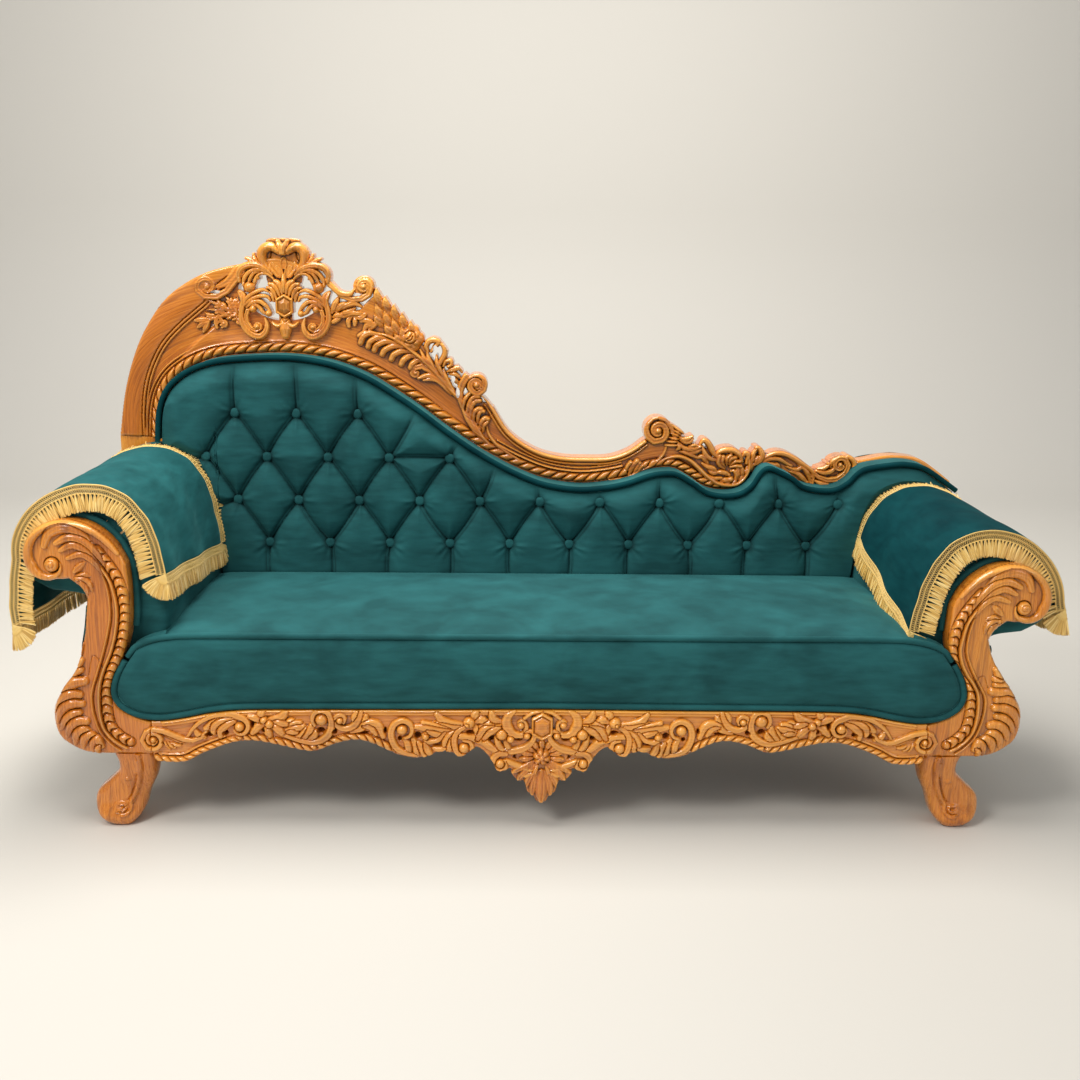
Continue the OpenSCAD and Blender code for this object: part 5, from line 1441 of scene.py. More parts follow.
class DIVAN_OT_apron(bpy.types.Operator):
    """Carved and pierced apron with its flowered drop"""

    bl_idname = "divan.apron"
    bl_label = "Apron"

    def execute(self, context):
        low = [(x, RAIL_BOTTOM - drop) for x, drop in APRON_LOW] + APRON_END
        top = PANEL_LOW + [(827, RAIL_TOP - 18)]
        half = np.concatenate([smooth(low, 6), smooth([(x, z - 1) for x, z in top], 6)[::-1]])
        board = Relief(np.concatenate([half, mirrored(half[::-1])]), 1.5)
        board.grain = [np.broadcast_to(board.x[:, None], board.count),
                       np.broadcast_to(board.z[None, :], board.count)]
        # the ground is sunk below the top rail and the roped lower edge
        middle = np.clip((758 - np.abs(board.x[:, None])) / 20, 0, 1)
        board.h -= 2 * np.clip((board.edge - 11) / 4, 0, 1) * middle
        board.cut = 7
        # less stain over the whole apron: its hollows take less painted shade and its tops more painted
        # highlight
        board.stain -= 1.2
        carve_apron(board)
        board.round(3)
        for name, span in (("apron_head", (-900, -300)), ("apron_middle", (-300, 300)),
                           ("apron_foot", (300, 900))):
            made = board.piece(name, FRONT_Y + 1, APRON_BACK, span=span)
            settle(made, "carved", "carved_wood", "front_apron")
        self.drop()
        return {"FINISHED"}

    def drop(self):
        """The flower over a fan of leaves that hangs from the apron's middle."""
        half = smooth([(0, 206), (22, 200), (42, 188), (56, 168), (52, 148), (66, 130), (50, 110),
                       (36, 108), (30, 84), (18, 76), (10, 62), (0, 60)], 6)
        board = Relief(both(half), 1.2)
        board.h -= 6
        for hand in (1, -1):
            board.hand = hand
            for rib, w, top in (
                ([(0, 134), (2, 100), (0, 62)], 15, 12), ([(6, 134), (16, 108), (20, 78)], 11, 10),
                ([(12, 140), (26, 118), (34, 96)], 10, 10), ([(14, 146), (36, 132), (50, 114)], 10, 10),
                ([(16, 150), (40, 144), (62, 130)], 9, 11), ([(8, 148), (14, 136), (16, 122)], 7, 14),
            ):
                board.petal(rib, w, top, -4)
            for a in range(-60, 91, 25):
                t = math.radians(a)
                board.petal([(20 * math.cos(t), 167 + 18 * math.sin(t)),
                             (34 * math.cos(t), 167 + 29 * math.sin(t)),
                             (47 * math.cos(t), 168 + 38 * math.sin(t))], 8.5, 9, -4)
        board.hand = 1
        board.flower((0, 167), 21, 6, 14, -3, 15, heart=0.4)
        board.dome((0, 167), 8, 16, -2)
        board.round(3)
        made = board.piece("apron_drop_carving", FRONT_Y - 2, -318)
        settle(made, "carved", "carved_wood", "apron_cartouche")


def end_scroll(board):
    """The scroll at each end of the apron, which runs over onto the arm's facing."""
    board.volute([(712, 220), (722, 208), (741, 201), (759, 204), (779, 213), (800, 222), (821, 226),
                  (838, 220), (847, 202), (838, 184)], (824, 203), 1.25, -1,
                 [4, 5.5, 6.5, 6.5, 6, 5.5, 5.5, 5.5, 5, 4.5, 4], [9, 12, 13, 13, 13, 13, 13], -2, 8,
                 hollow=0.15, shrink=0.42)
    board.stroke(smooth([(742, 196), (762, 196), (782, 204), (800, 212)], 6), [2, 3.5, 2], [6, 8, 6], -3)
    for rib in ([(802, 199), (796, 192), (790, 184)], [(793, 196), (788, 190), (780, 185)],
                [(785, 195), (777, 191), (768, 190)]):
        board.stroke(smooth(rib, 5), [3, 5, 4.5], [7, 10, 9], -3)


def carve_facing(board, e):
    """The front board of an arm: scroll, leaves, bands, gadroons and leafed knee."""

    def fit(points):
        """Moves points drawn for the tall arm to this one's height. The knee stays."""
        p = np.array(points, float)
        p[:, 1] += (e - HEAD_EYE) * np.clip((p[:, 1] - 300) / 200, 0, 1)
        return p

    # two grooves with a rounded band between them, out of the leaves and down to the leg
    seat_side = smooth(fit([(983, 621), (962, 628), (934, 616), (910, 586), (890, 553), (881, 516),
                            (879, 479), (886, 433), (899, 392), (914, 358), (925, 323), (929, 288),
                            (928, 252), (920, 222), (901, 200), (880, 186)]), 6)
    stem_side = smooth(fit([(969, 605), (946, 608), (921, 592), (904, 562), (895, 525), (894, 479),
                            (903, 433), (917, 386), (931, 345), (941, 316), (945, 291), (943, 259),
                            (932, 220), (913, 194), (892, 178)]), 6)
    lane = spaced(beside(seat_side, -11.8)[14:], 5)
    board.rope(lane, 11, 19, 11, -3.5, slant=0.0, bow=0.45, tilt=0.35)
    board.stroke(spaced(beside(seat_side[8:], 3.4), 6), [3.5, 4, 4, 3.5], [8, 9, 9, 7], -1)
    board.stroke(spaced(beside(stem_side[6:], 3), 6), [2.5, 3.4, 3.4, 3], [6, 7, 7, 5], -2)
    for line in (seat_side[4:], stem_side[4:]):
        board.groove(spaced(line, 6), 1.4, 3.2)

    end_scroll(board)

    # the polished band that winds out of the eye, over the top and down beside the seat
    centre = np.array([EYE_X, e])
    a = np.radians(np.arange(-100, 264, 9))
    far = VOLUTE_R * GROWTH ** (np.degrees(a) / 90)
    near = np.interp(np.degrees(a), [-100, 0, 90, 135, 180, 225, 250, 264],
                     [15, 18, 30, 51, 74, 100, 119, 137])
    mid, half = (far + near) / 2, (far - near) / 2
    band = centre + mid[:, None] * np.stack([np.sin(a), -np.cos(a)], 1)
    s = lengths(band) / lengths(band)[-1]
    half = np.interp(np.linspace(0, 1, 24), s, half)
    board.stroke(band, np.maximum(half, 1.5), [6, 9, 13, 15, 15, 14, 12, 9, 5], -1, power=0.42)
    board.dome(centre, 15, 15, 0)
    a = np.linspace(0, 2 * np.pi, 25)
    board.groove(centre + 15.5 * np.stack([np.cos(a), np.sin(a)], 1), 1.4, 4)
    a = np.linspace(0.5, 6.5, 22)
    board.groove(centre + (11 - 1.4 * a)[:, None] * np.stack([np.cos(a), np.sin(a)], 1), 1.2, 2.5)

    # leaves that come out of the scroll, under its neck and over the knee
    board.cut = 6
    for rib, w, high in (
        ([(1021, 624), (1009, 650), (980, 661), (945, 650), (917, 618)], 9, 12),
        ([(996, 630), (970, 641), (941, 633), (914, 607), (899, 580)], 8, 13),
        ([(988, 615), (962, 626), (934, 612), (911, 584)], 7, 12),
        ([(975, 598), (946, 606), (922, 590), (905, 562)], 6, 11),
        ([(963, 570), (950, 582), (940, 590)], 6, 10), ([(963, 553), (946, 562), (932, 560)], 6, 10),
        ([(959, 555), (947, 552), (935, 542), (930, 528)], 7, 11),
        ([(952, 548), (942, 534), (941, 520)], 6, 10),
    ):
        board.stroke(smooth(fit(rib), 6), w * np.array([0.8, 1.35, 1.35, 1.0, 0.3]),
                     high * np.array([1, 1, 1, 0.6]), -3, vein=1.6, power=0.42)
    board.groove(smooth(fit([(951, 345), (941, 386), (927, 379), (921, 362)]), 6), 1.4, 2.5)
    for rib, w in (
        ([(991, 360), (973, 385), (962, 414)], 6), ([(997, 345), (978, 362), (963, 379)], 7),
        ([(1014, 315), (992, 346), (966, 358)], 8),
        ([(1025, 283), (1010, 311), (985, 329), (960, 333)], 10),
        ([(1026, 260), (1012, 286), (991, 304), (972, 303)], 8.5),
        ([(1023, 240), (1009, 270), (990, 283), (969, 283)], 8.5),
        ([(1016, 224), (1003, 247), (987, 261), (975, 264)], 7.5),
        ([(1005, 207), (994, 232), (979, 244), (962, 243)], 8.5),
        ([(990, 190), (983, 213), (969, 225), (958, 217)], 8.5),
        ([(974, 180), (969, 203), (957, 213), (945, 208)], 7.5),
        ([(954, 172), (951, 193), (941, 204), (933, 188)], 7), ([(940, 168), (942, 181), (936, 190)], 5),
    ):
        board.stroke(smooth(fit(rib), 6), w * np.array([0.45, 1.15, 1.5, 1.5, 1.1]),
                     [5, 10, 14, 16, 13], -2, vein=0.8, power=0.5)


class DIVAN_OT_facings(bpy.types.Operator):
    """Carved front boards of the arms"""

    bl_idname = "divan.facings"
    bl_label = "Arm facings"

    def execute(self, context):
        for side, word, e in ((-1, "left", HEAD_EYE), (1, "right", FOOT_EYE)):
            board = Relief(facing_outline(e), 1.3)
            carve_facing(board, e)
            board.round(8)
            made = board.piece(word + "_facing_carving", FRONT_Y + 2, FACING_BACK, side)
            settle(made, "carved", "carved_wood", word + "_arm_facing")
        return {"FINISHED"}


def carve_leg(board):
    """Edge band, foot scroll and small knob of a front leg."""
    bead = smooth([(INNER_X + 2, 176), (INNER_X - 2, 150), (INNER_X, 120), (INNER_X + 8, 88),
                   (INNER_X + 18, 64), (INNER_X + 25, 53)], 6)
    board.stroke(spaced(bead, 5), [4, 5, 5, 4], 6, 0, power=0.4)
    board.groove(spaced(beside(bead, 6.5), 5), 1.8, 3.5)
    board.groove(spaced(beside(bead, -6.5), 5), 1.5, 2)
    board.volute(bead[-8:], (INNER_X + 41, 42), 1.5, 1, [4, 3.4, 3, 2.6], [6, 8, 8], 0, 3.6)
    board.dome((INNER_X + 27, 108), 6, 4, 0)


class DIVAN_OT_legs(bpy.types.Operator):
    """Cabriole front legs with a bead and a small scroll on the foot"""

    bl_idname = "divan.legs"
    bl_label = "Front legs"

    def execute(self, context):
        out = smooth([(INNER_X + x, z) for x, z in LEG_OUT], 8)
        inn = smooth([(INNER_X + x, z) for x, z in LEG_IN], 8)
        lean = smooth([(z, inset) for inset, z in LEG_SIDE][::-1], 6)
        outline = np.concatenate([out, inn])
        n, squareness = 168, 0.62
        a = np.linspace(0, 2 * np.pi, n, endpoint=False)
        cx, sx = np.cos(a), np.sin(a)
        levels = np.concatenate([[0.0, 1.5], np.linspace(4, LEG_TOP, 118)])
        for side, word in ((-1, "left"), (1, "right")):
            board = Relief(outline, 1.5)
            carve_leg(board)
            points = []
            for z in levels:
                x1 = np.interp(z, out[::-1, 1], out[::-1, 0])
                x0 = np.interp(z, inn[:, 1], inn[:, 0])
                inset = np.interp(z, lean[:, 0], lean[:, 1])
                y0, y1 = FRONT_Y + 2 + inset, FRONT_Y + 90 - inset * 0.4
                # the sole's edge is rounded in two steps
                squash = 4 if z == 0 else (1.5 if z < 2 else 0)
                x = (x0 + x1) / 2 + ((x1 - x0) / 2 - squash) * np.sign(cx) * np.abs(cx) ** squareness
                y = (y0 + y1) / 2 + ((y1 - y0) / 2 - squash) * np.sign(sx) * np.abs(sx) ** squareness
                i = np.clip((x - board.x[0]) / board.pitch, 0, board.count[0] - 1.01)
                k = np.clip((z - board.z[0]) / board.pitch, 0, board.count[1] - 1.01)
                h = board.h[i.round().astype(int), int(round(float(k)))]
                y = y - h * np.clip(-sx * 1.6 - 0.2, 0, 1)
                points.append(np.stack([x, y, np.full(n, z)], 1))
            quads, ends = ring_faces(len(levels), n)
            if side < 0:
                quads, ends = quads[:, ::-1], ends[:, ::-1]
            flat = np.concatenate(points) * [side, 1, 1]
            made = mesh_of(word + "_front_leg", flat, [quads, ends], 60)
            grain = np.stack([flat[:, 2], flat[:, 0], flat[:, 1]], 1) / 1000
            paint(made, "grain", grain, "FLOAT_VECTOR")
            paint(made, "carving", np.zeros(len(flat)))
            settle(made, "carved", "carved_wood", "front_" + word + "_leg")
        return {"FINISHED"}


# upholstery
def button_spots():
    """The middle of each button, by its row and its number in the row."""
    rows = ((0, 0, 9), (1, 0, 10), (2, -1, 3), (3, 0, 2))
    return {(row, i): (BUTTON_X + (i - (row % 2) / 2) * BUTTON_PITCH, BUTTON_Z + row * BUTTON_RISE)
            for row, first, last in rows for i in range(first, last + 1)}


def pleat_lines():
    """Pleats between neighbouring buttons, down to the seat and up to the border."""
    spots = button_spots()
    out = []
    for (row, i), at in spots.items():
        for k in ((0, 1) if row % 2 == 0 else (-1, 0)):
            if (row + 1, i + k) in spots:
                out.append((at, spots[row + 1, i + k]))
        if row == 0:
            out.append((at, (at[0] + 4 * math.sin(i * 2.1), SEAT_Z - 32)))
    border = {(3, 0): (-733, 975), (3, 1): (-599, 978), (3, 2): (-441, 948), (2, 2): (-290, 858),
              (2, 3): (-186, 768), (1, 4): (-103, 722), (1, 5): (-1, 676), (1, 6): (145, 662),
              (1, 7): (304, 704), (1, 8): (440, 654), (1, 9): (588, 708), (1, 10): (736, 664),
              (2, -1): (-960, 676), (1, 0): (-880, 552)}
    out += [(spots[key], end) for key, end in border.items()]
    out.append((spots[2, 2], spots[2, 3]))
    return out


def tufting(x, z):
    """How full the buttoned cover stands, from 0 to 1, and the painted shade of its shut
    pleats, of the creases beside them and of a ring round each button.
    """
    buttons = np.array(list(button_spots().values()))
    to_button = np.full(x.shape, 1e9)
    rays = np.zeros(x.shape)
    for i, (bx, bz) in enumerate(buttons):
        dx, dz = x - bx, z - bz
        d = np.hypot(dx, dz)
        a = np.arctan2(dz, dx)
        rays += np.exp(-(((d - 25) / 13) ** 2)) * np.cos(9 * a + 1.7 * i) * 0.8
        rays += np.exp(-(((d - 32) / 20) ** 2)) * np.cos(14 * a - 2.9 * i) * 0.3
        to_button = np.minimum(to_button, d)
    to_pleat = np.full(x.shape, 1e9)
    lip = np.zeros(x.shape)
    for k, (a, b) in enumerate(pleat_lines()):
        run = np.subtract(b, a)
        long = np.hypot(*run)
        dx, dz = x - a[0], z - a[1]
        t = np.clip((dx * run[0] + dz * run[1]) / long**2, 0, 1)
        bow = 3.0 * np.sin(np.pi * t) * (1 if k % 2 else -1)
        off = (run[0] * dz - run[1] * dx) / long - bow
        d = np.where((t > 0) & (t < 1), np.abs(off), np.hypot(dx - t * run[0], dz - t * run[1]))
        nearer = d < to_pleat
        lip = np.where(nearer, off * (1 if k % 2 else -1), lip)
        to_pleat = np.minimum(to_pleat, d)
    level = 0.5 * (1 - np.exp(-((to_button / 34) ** 1.4)))
    dome = 1 - (1 - np.clip(to_pleat / 60, 0, 1)) ** 2.6
    full = level + (1 - level) * dome
    # each pleat is folded over, so a narrow second crease runs beside it
    second = np.exp(-(((lip - 7) / 1.9) ** 2)) * np.exp(-((to_button - 55) / 60) ** 2)
    full = full - 0.11 * second - 0.12 * np.exp(-((to_pleat / 2.6) ** 2)) + 0.04 * rays
    # painted shade in the pleats, beside them, and in a ring round each button's foot
    shut = np.exp(-((to_pleat / 2.3) ** 2)) * (0.6 + 0.4 * np.exp(-to_button / 40))
    shut = shut + 0.7 * second + 0.85 * np.exp(-((to_button / 16.5) ** 4))
    return full, np.clip(shut, 0, 1)


def waves(x, y, seed, long=220.0):
    """Slow unevenness between -1 and 1, as of padding that has been sat on."""
    out = np.zeros(np.broadcast(x, y).shape)
    dice = np.random.default_rng(seed)
    for _ in range(7):
        a, phase = dice.uniform(0, 2 * np.pi, 2)
        f = 2 * np.pi / (long * dice.uniform(0.5, 1.6))
        out += np.sin(f * (x * np.cos(a) + y * np.sin(a)) + phase) / 7
    return out * 1.6


class DIVAN_OT_back(bpy.types.Operator):
    """Deep-buttoned back with its piping, border and outer cover"""

    bl_idname = "divan.back"
    bl_label = "Buttoned back"

    def execute(self, context):
        sizes = context.scene.divan_sizes
        cord = sizes.piping * 500
        self.cover(cord)
        self.buttons(sizes.button / 2)

        line = deep(spaced(crest_inner(cord), 6), RING_Y - 0.3 - cord)
        # the back's piping takes the throws' darker velvet: painted shade on the cord
        welt("back_welt", line, cord, "throw", "back_piping")
        wall = spaced(crest_inner(0.2), 6), beside(spaced(crest_inner(0.2), 6), -2.0)
        ring = [np.stack([deep(w, RING_Y), deep(w, CREST_Y - 0.4)]) for w in wall]
        settle(shell("back_edge_band", ring[0], ring[1]), "velvet", "velvet", "back_border")
        self.outer_cover()
        return {"FINISHED"}

    def cover(self, cord):
        """The buttoned velvet, full and folded, as one closed piece with its foam."""
        lap = crest_inner(2 * cord + 2.5)
        head = mirrored(beside(roll_line(HEAD_EYE), -1))[37:]
        foot = beside(roll_line(FOOT_EYE), -1)[25:][::-1]
        end_x = foot[-1, 0] - 3
        top = lap[lap[:, 0] < end_x - 2 * cord - 2.5]
        low = np.concatenate([head + 3, [(-WALL_X + 7, SEAT_Z - 30), (WALL_X - 7, SEAT_Z - 30)],
                              foot + [-3, 3]])
        x0, x1 = top[0, 0] + 1, end_x - 2 * cord - 5
        x = np.concatenate([-WALL_X + 4 + (x0 + WALL_X - 4) * np.linspace(1, 0, 70)[:-1] ** 1.6,
                            np.arange(-WALL_X + 4, WALL_X - 4, 2.9),
                            WALL_X - 4 + (x1 - WALL_X + 4) * np.linspace(0, 1, 66) ** 1.2])
        low_z = np.interp(x, low[:, 0], low[:, 1])
        high_z = np.maximum(np.interp(x, top[:, 0], top[:, 1]), low_z + 6)
        t = np.linspace(0, 1, 170)[:, None]
        z = low_z + t * (high_z - low_z)
        xx = np.broadcast_to(x, z.shape)
        full, shut = tufting(xx, z)
        bend = [np.sin(np.pi / 2 * np.clip(d / 52, 0, 1)) for d in (
            high_z - z, z - low_z + 20, xx - x0, x1 - xx)]
        edge = np.minimum.reduce(bend)
        y = RING_Y - 2 - edge * (29 * full + 1.2 * waves(xx, z, 3, 300))
        front = np.stack([xx, y, z], 2)
        rear = np.stack([xx, np.full(z.shape, BACK_PLY_FACE), z], 2)
        cover = shell("buttoned_back", front, rear, smooth_angle=70)
        # the painted shade of the pleats and buttons, which the velvet reads
        paint(cover, "fold", np.concatenate([(shut * edge).ravel(), np.zeros(z.size)]))
        settle(cover, "buttoned", "velvet", "back_cover", "back_foam")

    def outer_cover(self):
        """The plain velvet on the rear of the back, which swells a little."""
        upper = spaced(crest_inner(-6)[3:-3], 9)
        left, right = -949, 1028
        lower = np.stack([np.linspace(left, right, len(upper)), np.full(len(upper), RAIL_TOP)], 1)
        v = np.linspace(0, 1, 40)[:, None, None]
        flat = lower * (1 - v) + upper * v
        u = np.linspace(0, 1, len(upper))[None, :]
        swell = np.minimum(1, 14 * np.minimum(np.minimum(v[:, :, 0], 1 - v[:, :, 0]),
                                              2 * np.minimum(u, 1 - u))) ** 0.5
        y = CREST_BACK + 1.6 + swell * (3.2 + 1.0 * waves(flat[..., 0], flat[..., 1], 9, 260))
        outer = np.stack([flat[..., 0], y, flat[..., 1]], 2)
        inner = np.stack([flat[..., 0], np.full(y.shape, CREST_BACK + 0.4), flat[..., 1]], 2)
        settle(shell("outer_back_cover", outer, inner, turn=True), "velvet", "velvet",
               "back_outer_cover")

    def buttons(self, r):
        """One covered button, domed and pulled in at its rim, copied to each spot."""
        only()
        bpy.ops.mesh.primitive_uv_sphere_add(segments=20, ring_count=12, radius=r,
                                             location=(0, 0, 0), rotation=(math.pi / 2, 0, 0))
        first = bpy.context.object
        bpy.ops.object.transform_apply(location=True, rotation=True, scale=True)
        for v in first.data.vertices:
            q = min(1.0, math.hypot(v.co.x, v.co.z) / r)
            v.co.y = math.copysign(r * 0.44 * (1 - q**3.5) ** 0.5, v.co.y)
        copies = []
        for x, z in button_spots().values():
            one = first.copy()
            one.data = first.data.copy()
            one.location = (x / 1000, BUTTON_Y / 1000, z / 1000)
            bpy.context.scene.collection.objects.link(one)
            copies.append(one)
        bpy.data.objects.remove(first)
        only(*copies)
        bpy.ops.object.join()
        whole = bpy.context.object
        bpy.ops.object.transform_apply(location=True, rotation=True, scale=True)
        whole.name = "covered_buttons"
        bpy.ops.object.shade_smooth()
        settle(whole, "velvet", "velvet", "back_buttons")


class DIVAN_OT_seat(bpy.types.Operator):
    """Crowned seat with its front panel, welts and dust cover"""

    bl_idname = "divan.seat"
    bl_label = "Seat"

    def execute(self, context):
        sizes = context.scene.divan_sizes
        cord = sizes.piping * 500
        self.top(cord, sizes.crown * 1000)
        self.front_panel(cord)

        top = beside(SEAM, cord)
        top = spaced(np.concatenate([mirrored(top[:-1]), top[::-1]]), 7)
        welt("seat_top_welt", deep(top, PANEL_BACK - cord), cord, "velvet", "seat_top_piping")
        bottom = beside(PANEL, cord + 1)
        bottom = spaced(np.concatenate([mirrored(bottom[:0:-1]), bottom]), 7)
        welt("seat_bottom_welt", deep(bottom, FRONT_Y + cord - 2), cord, "velvet",
             "seat_bottom_piping")

        self.dust_cover()
        return {"FINISHED"}

    def top(self, cord, crown):
        """The crowned velvet with its foam, down to the deck."""
        seam = SEAM[::-1]
        x = np.concatenate([np.linspace(0, WALL_X - 3, 120), [WALL_X - 1.5],
                            np.linspace(WALL_X, SEAM_X, 16)])
        x = np.concatenate([-x[:0:-1], x])
        v = np.concatenate([np.linspace(0, 0.06, 10)[:-1], np.linspace(0.06, 0.94, 60)[:-1],
                            np.linspace(0.94, 1, 10)])[:, None]
        rear_y = np.where(np.abs(x) < WALL_X - 1, CUSHION_REAR, FACING_BACK - 0.3)
        front_y = PANEL_BACK + 0.3
        y = front_y + v * (rear_y - front_y)
        xx = np.broadcast_to(x, y.shape)
        rise = np.sin(np.pi * v) ** 0.55
        z = np.interp(np.abs(xx), seam[:, 0], seam[:, 1]) - cord + rise * (
            cord + crown * (1 - (np.abs(xx) / SEAM_X) ** 4))
        z = z + 1.6 * waves(xx, y, 5, 330) * np.minimum(1, 6 * rise - 2).clip(0)
        z = z - 0.8 * np.exp(-((np.abs(xx) - 700) / 60) ** 2) * rise
        upper = np.stack([xx, y, z], 2)
        lower = np.stack([xx, y, np.full(y.shape, DECK_TOP)], 2)
        seat = shell("seat_top", upper, lower, smooth_angle=60)
        settle(seat, "velvet", "velvet", "seat_cover", "seat_foam")

    def front_panel(self, cord):
        """The padded velvet panel between the seat's two seams."""
        low = spaced(beside(PANEL, 2 * cord + 1.3), 5)
        high = beside(SEAM, 2 * cord + 0.3)[::-1]
        at = lengths(low) / lengths(low)[-1] * lengths(high)[-1]
        high = np.stack([np.interp(at, lengths(high), high[:, k]) for k in (0, 1)], 1)
        low = np.concatenate([mirrored(low[:0:-1]), low])
        high = np.concatenate([mirrored(high[:0:-1]), high])
        t = np.linspace(0, 1, 34)[:, None, None]
        flat = low * (1 - t) + high * t
        bulge = np.sin(np.pi * t[..., 0]) ** 0.55 * np.minimum(1, 14 * (
            1 - np.abs(np.linspace(-1, 1, len(low))))) ** 0.5
        y = FRONT_Y + 5 - bulge * (13 + 1.6 * waves(flat[..., 0], flat[..., 1], 8, 240))
        panel = np.stack([flat[..., 0], y, flat[..., 1]], 2)
        rear = np.stack([flat[..., 0], np.full(y.shape, PANEL_BACK - 0.2), flat[..., 1]], 2)
        front = shell("seat_front_panel", panel, rear, smooth_angle=60)
        settle(front, "velvet", "velvet", "seat_front_border")

    def dust_cover(self):
        """The lining tacked under the seat's frame, which sags a little between the rails."""
        half, front_y, rear_y, high = 825, -301, 264, RAIL_BOTTOM - 0.6
        u, v = np.meshgrid(np.linspace(0, 1, 60), np.linspace(0, 1, 24), indexing="ij")
        x, y = half * (2 * u - 1), front_y + v * (rear_y - front_y)
        sag = np.sin(np.pi * u) * np.sin(np.pi * v)
        z = np.minimum(high, high - 7 * sag.clip(0) ** 0.6 + 0.8 * waves(x, y, 12, 160))
        dust = mesh_of("dust_cover", np.stack([x, y, z], 2).reshape(-1, 3),
                       [grid_faces(60, 24, turn=True)])
        thicken(dust, 0.0008)
        settle(dust, "lining", "dust_cloth", "seat_dust_cover")


def thicken(made, t):
    """Gives a sheet its thickness."""
    only(made)
    solid = made.modifiers.new("thickness", "SOLIDIFY")
    solid.thickness = t
    solid.offset = 0
    bpy.ops.object.modifier_apply(modifier=solid.name)


class DIVAN_OT_arms(bpy.types.Operator):
    """Scroll arms in velvet, gathered at their front ends, with their welts"""

    bl_idname = "divan.arms"
    bl_label = "Arms"

    def execute(self, context):
        cord = context.scene.divan_sizes.piping * 500
        for side, word, e in ((-1, "left", HEAD_EYE), (1, "right", FOOT_EYE)):
            self.cover(side, word, e)
            edge = facing_in(e)
            edge = np.concatenate([spiral(e, 45, 255, 10), edge[edge[:, 1] > SEAT_Z + cord]])
            edge = spaced(beside(edge, -cord - 0.3), 6) * [side, 1]
            welt(word + "_arm_welt", deep(edge, FACING_BACK - cord), cord, "velvet",
                 word + "_arm_piping")
        return {"FINISHED"}

    def cover(self, side, word, e):
        """The arm's velvet, gathered in tucks where it turns in behind the carved facing."""
        line = spaced(arm_line(e), 7)
        line[:, 0] -= 9 * np.clip((line[:, 0] - OUTER_X + 4) / 4, 0, 1) * np.clip(
            (e - 84 - line[:, 1]) / 12, 0, 1)
        line = np.concatenate([line[:1], line])
        wood = spaced(facing_outline(e), 4)
        core = np.array([wood[np.argmin(np.hypot(*(wood - p).T))] for p in line])
        for _ in range(10):
            core[1:-1] = 0.25 * core[:-2] + 0.5 * core[1:-1] + 0.25 * core[2:]
        gap = np.linalg.norm(core - line, axis=1, keepdims=True)
        core = core + (core - line) / np.maximum(gap, 1) * 14
        rows = []
        s = lengths(line)
        dice = np.random.default_rng(21 + side)
        tucks = np.arange(0.24, 0.72, 0.043) * s[-1] + dice.uniform(-9, 9, 12)
        # how far in each row lies on the gathered front end, from its middle to the arm's surface
        for t in (1.0, 0.75, 0.55, 0.4, 0.28, 0.18, 0.1, 0.05, 0.015):
            flat = line * (1 - t) + core * t
            away = np.linalg.norm(flat - line, axis=1)
            drop = 20 - np.sqrt(np.maximum(400 - (20 - np.minimum(away, 20)) ** 2, 0))
            fold = sum(np.exp(-(((s - q - 10 * t) / 3.2) ** 2)) for q in tucks)
            y = FACING_BACK + 1.5 + drop + 3.4 * fold * (t > 0.02) * (0.4 + 0.6 * t)
            rows.append(deep(flat, y))
        for y in (FACING_BACK + 20, -240, -180, -100, 0, 100, 180, 230, 255, ARM_REAR):
            rows.append(deep(line, y))
        n = len(line)
        # the open underside and the two ends are closed with flat faces
        first, last = np.arange(n), (len(rows) - 1) * n + np.arange(n)
        under = np.concatenate([np.arange(len(rows)) * n + n - 1,
                                np.arange(len(rows))[::-1] * n])
        made = mesh_of(word + "_arm", np.concatenate(rows), [grid_faces(len(rows), n)], 0)
        close(made, (first[::-1], last, under))
        if side < 0:
            flip(made)
        only(made)
        bpy.ops.object.shade_smooth_by_angle(angle=math.radians(50))
        settle(made, "velvet", "velvet", word + "_arm_cover", word + "_arm_padding")


def close(made, rings):
    """Closes a mesh with a flat face to each ring of its points."""
    bm = bmesh.new()
    bm.from_mesh(made.data)
    bm.verts.ensure_lookup_table()
    for ring in rings:
        keep = list(dict.fromkeys(int(k) for k in ring))
        bm.faces.new([bm.verts[k] for k in keep])
    bmesh.ops.remove_doubles(bm, verts=bm.verts, dist=1e-5)
    bmesh.ops.recalc_face_normals(bm, faces=bm.faces)
    bm.to_mesh(made.data)
    bm.free()


def flip(made):
    """Mirrors a mesh to the other end and turns its faces out again."""
    points = np.empty(len(made.data.vertices) * 3)
    made.data.vertices.foreach_get("co", points)
    points[0::3] *= -1
    made.data.vertices.foreach_set("co", points)
    made.data.flip_normals()
    made.data.update()


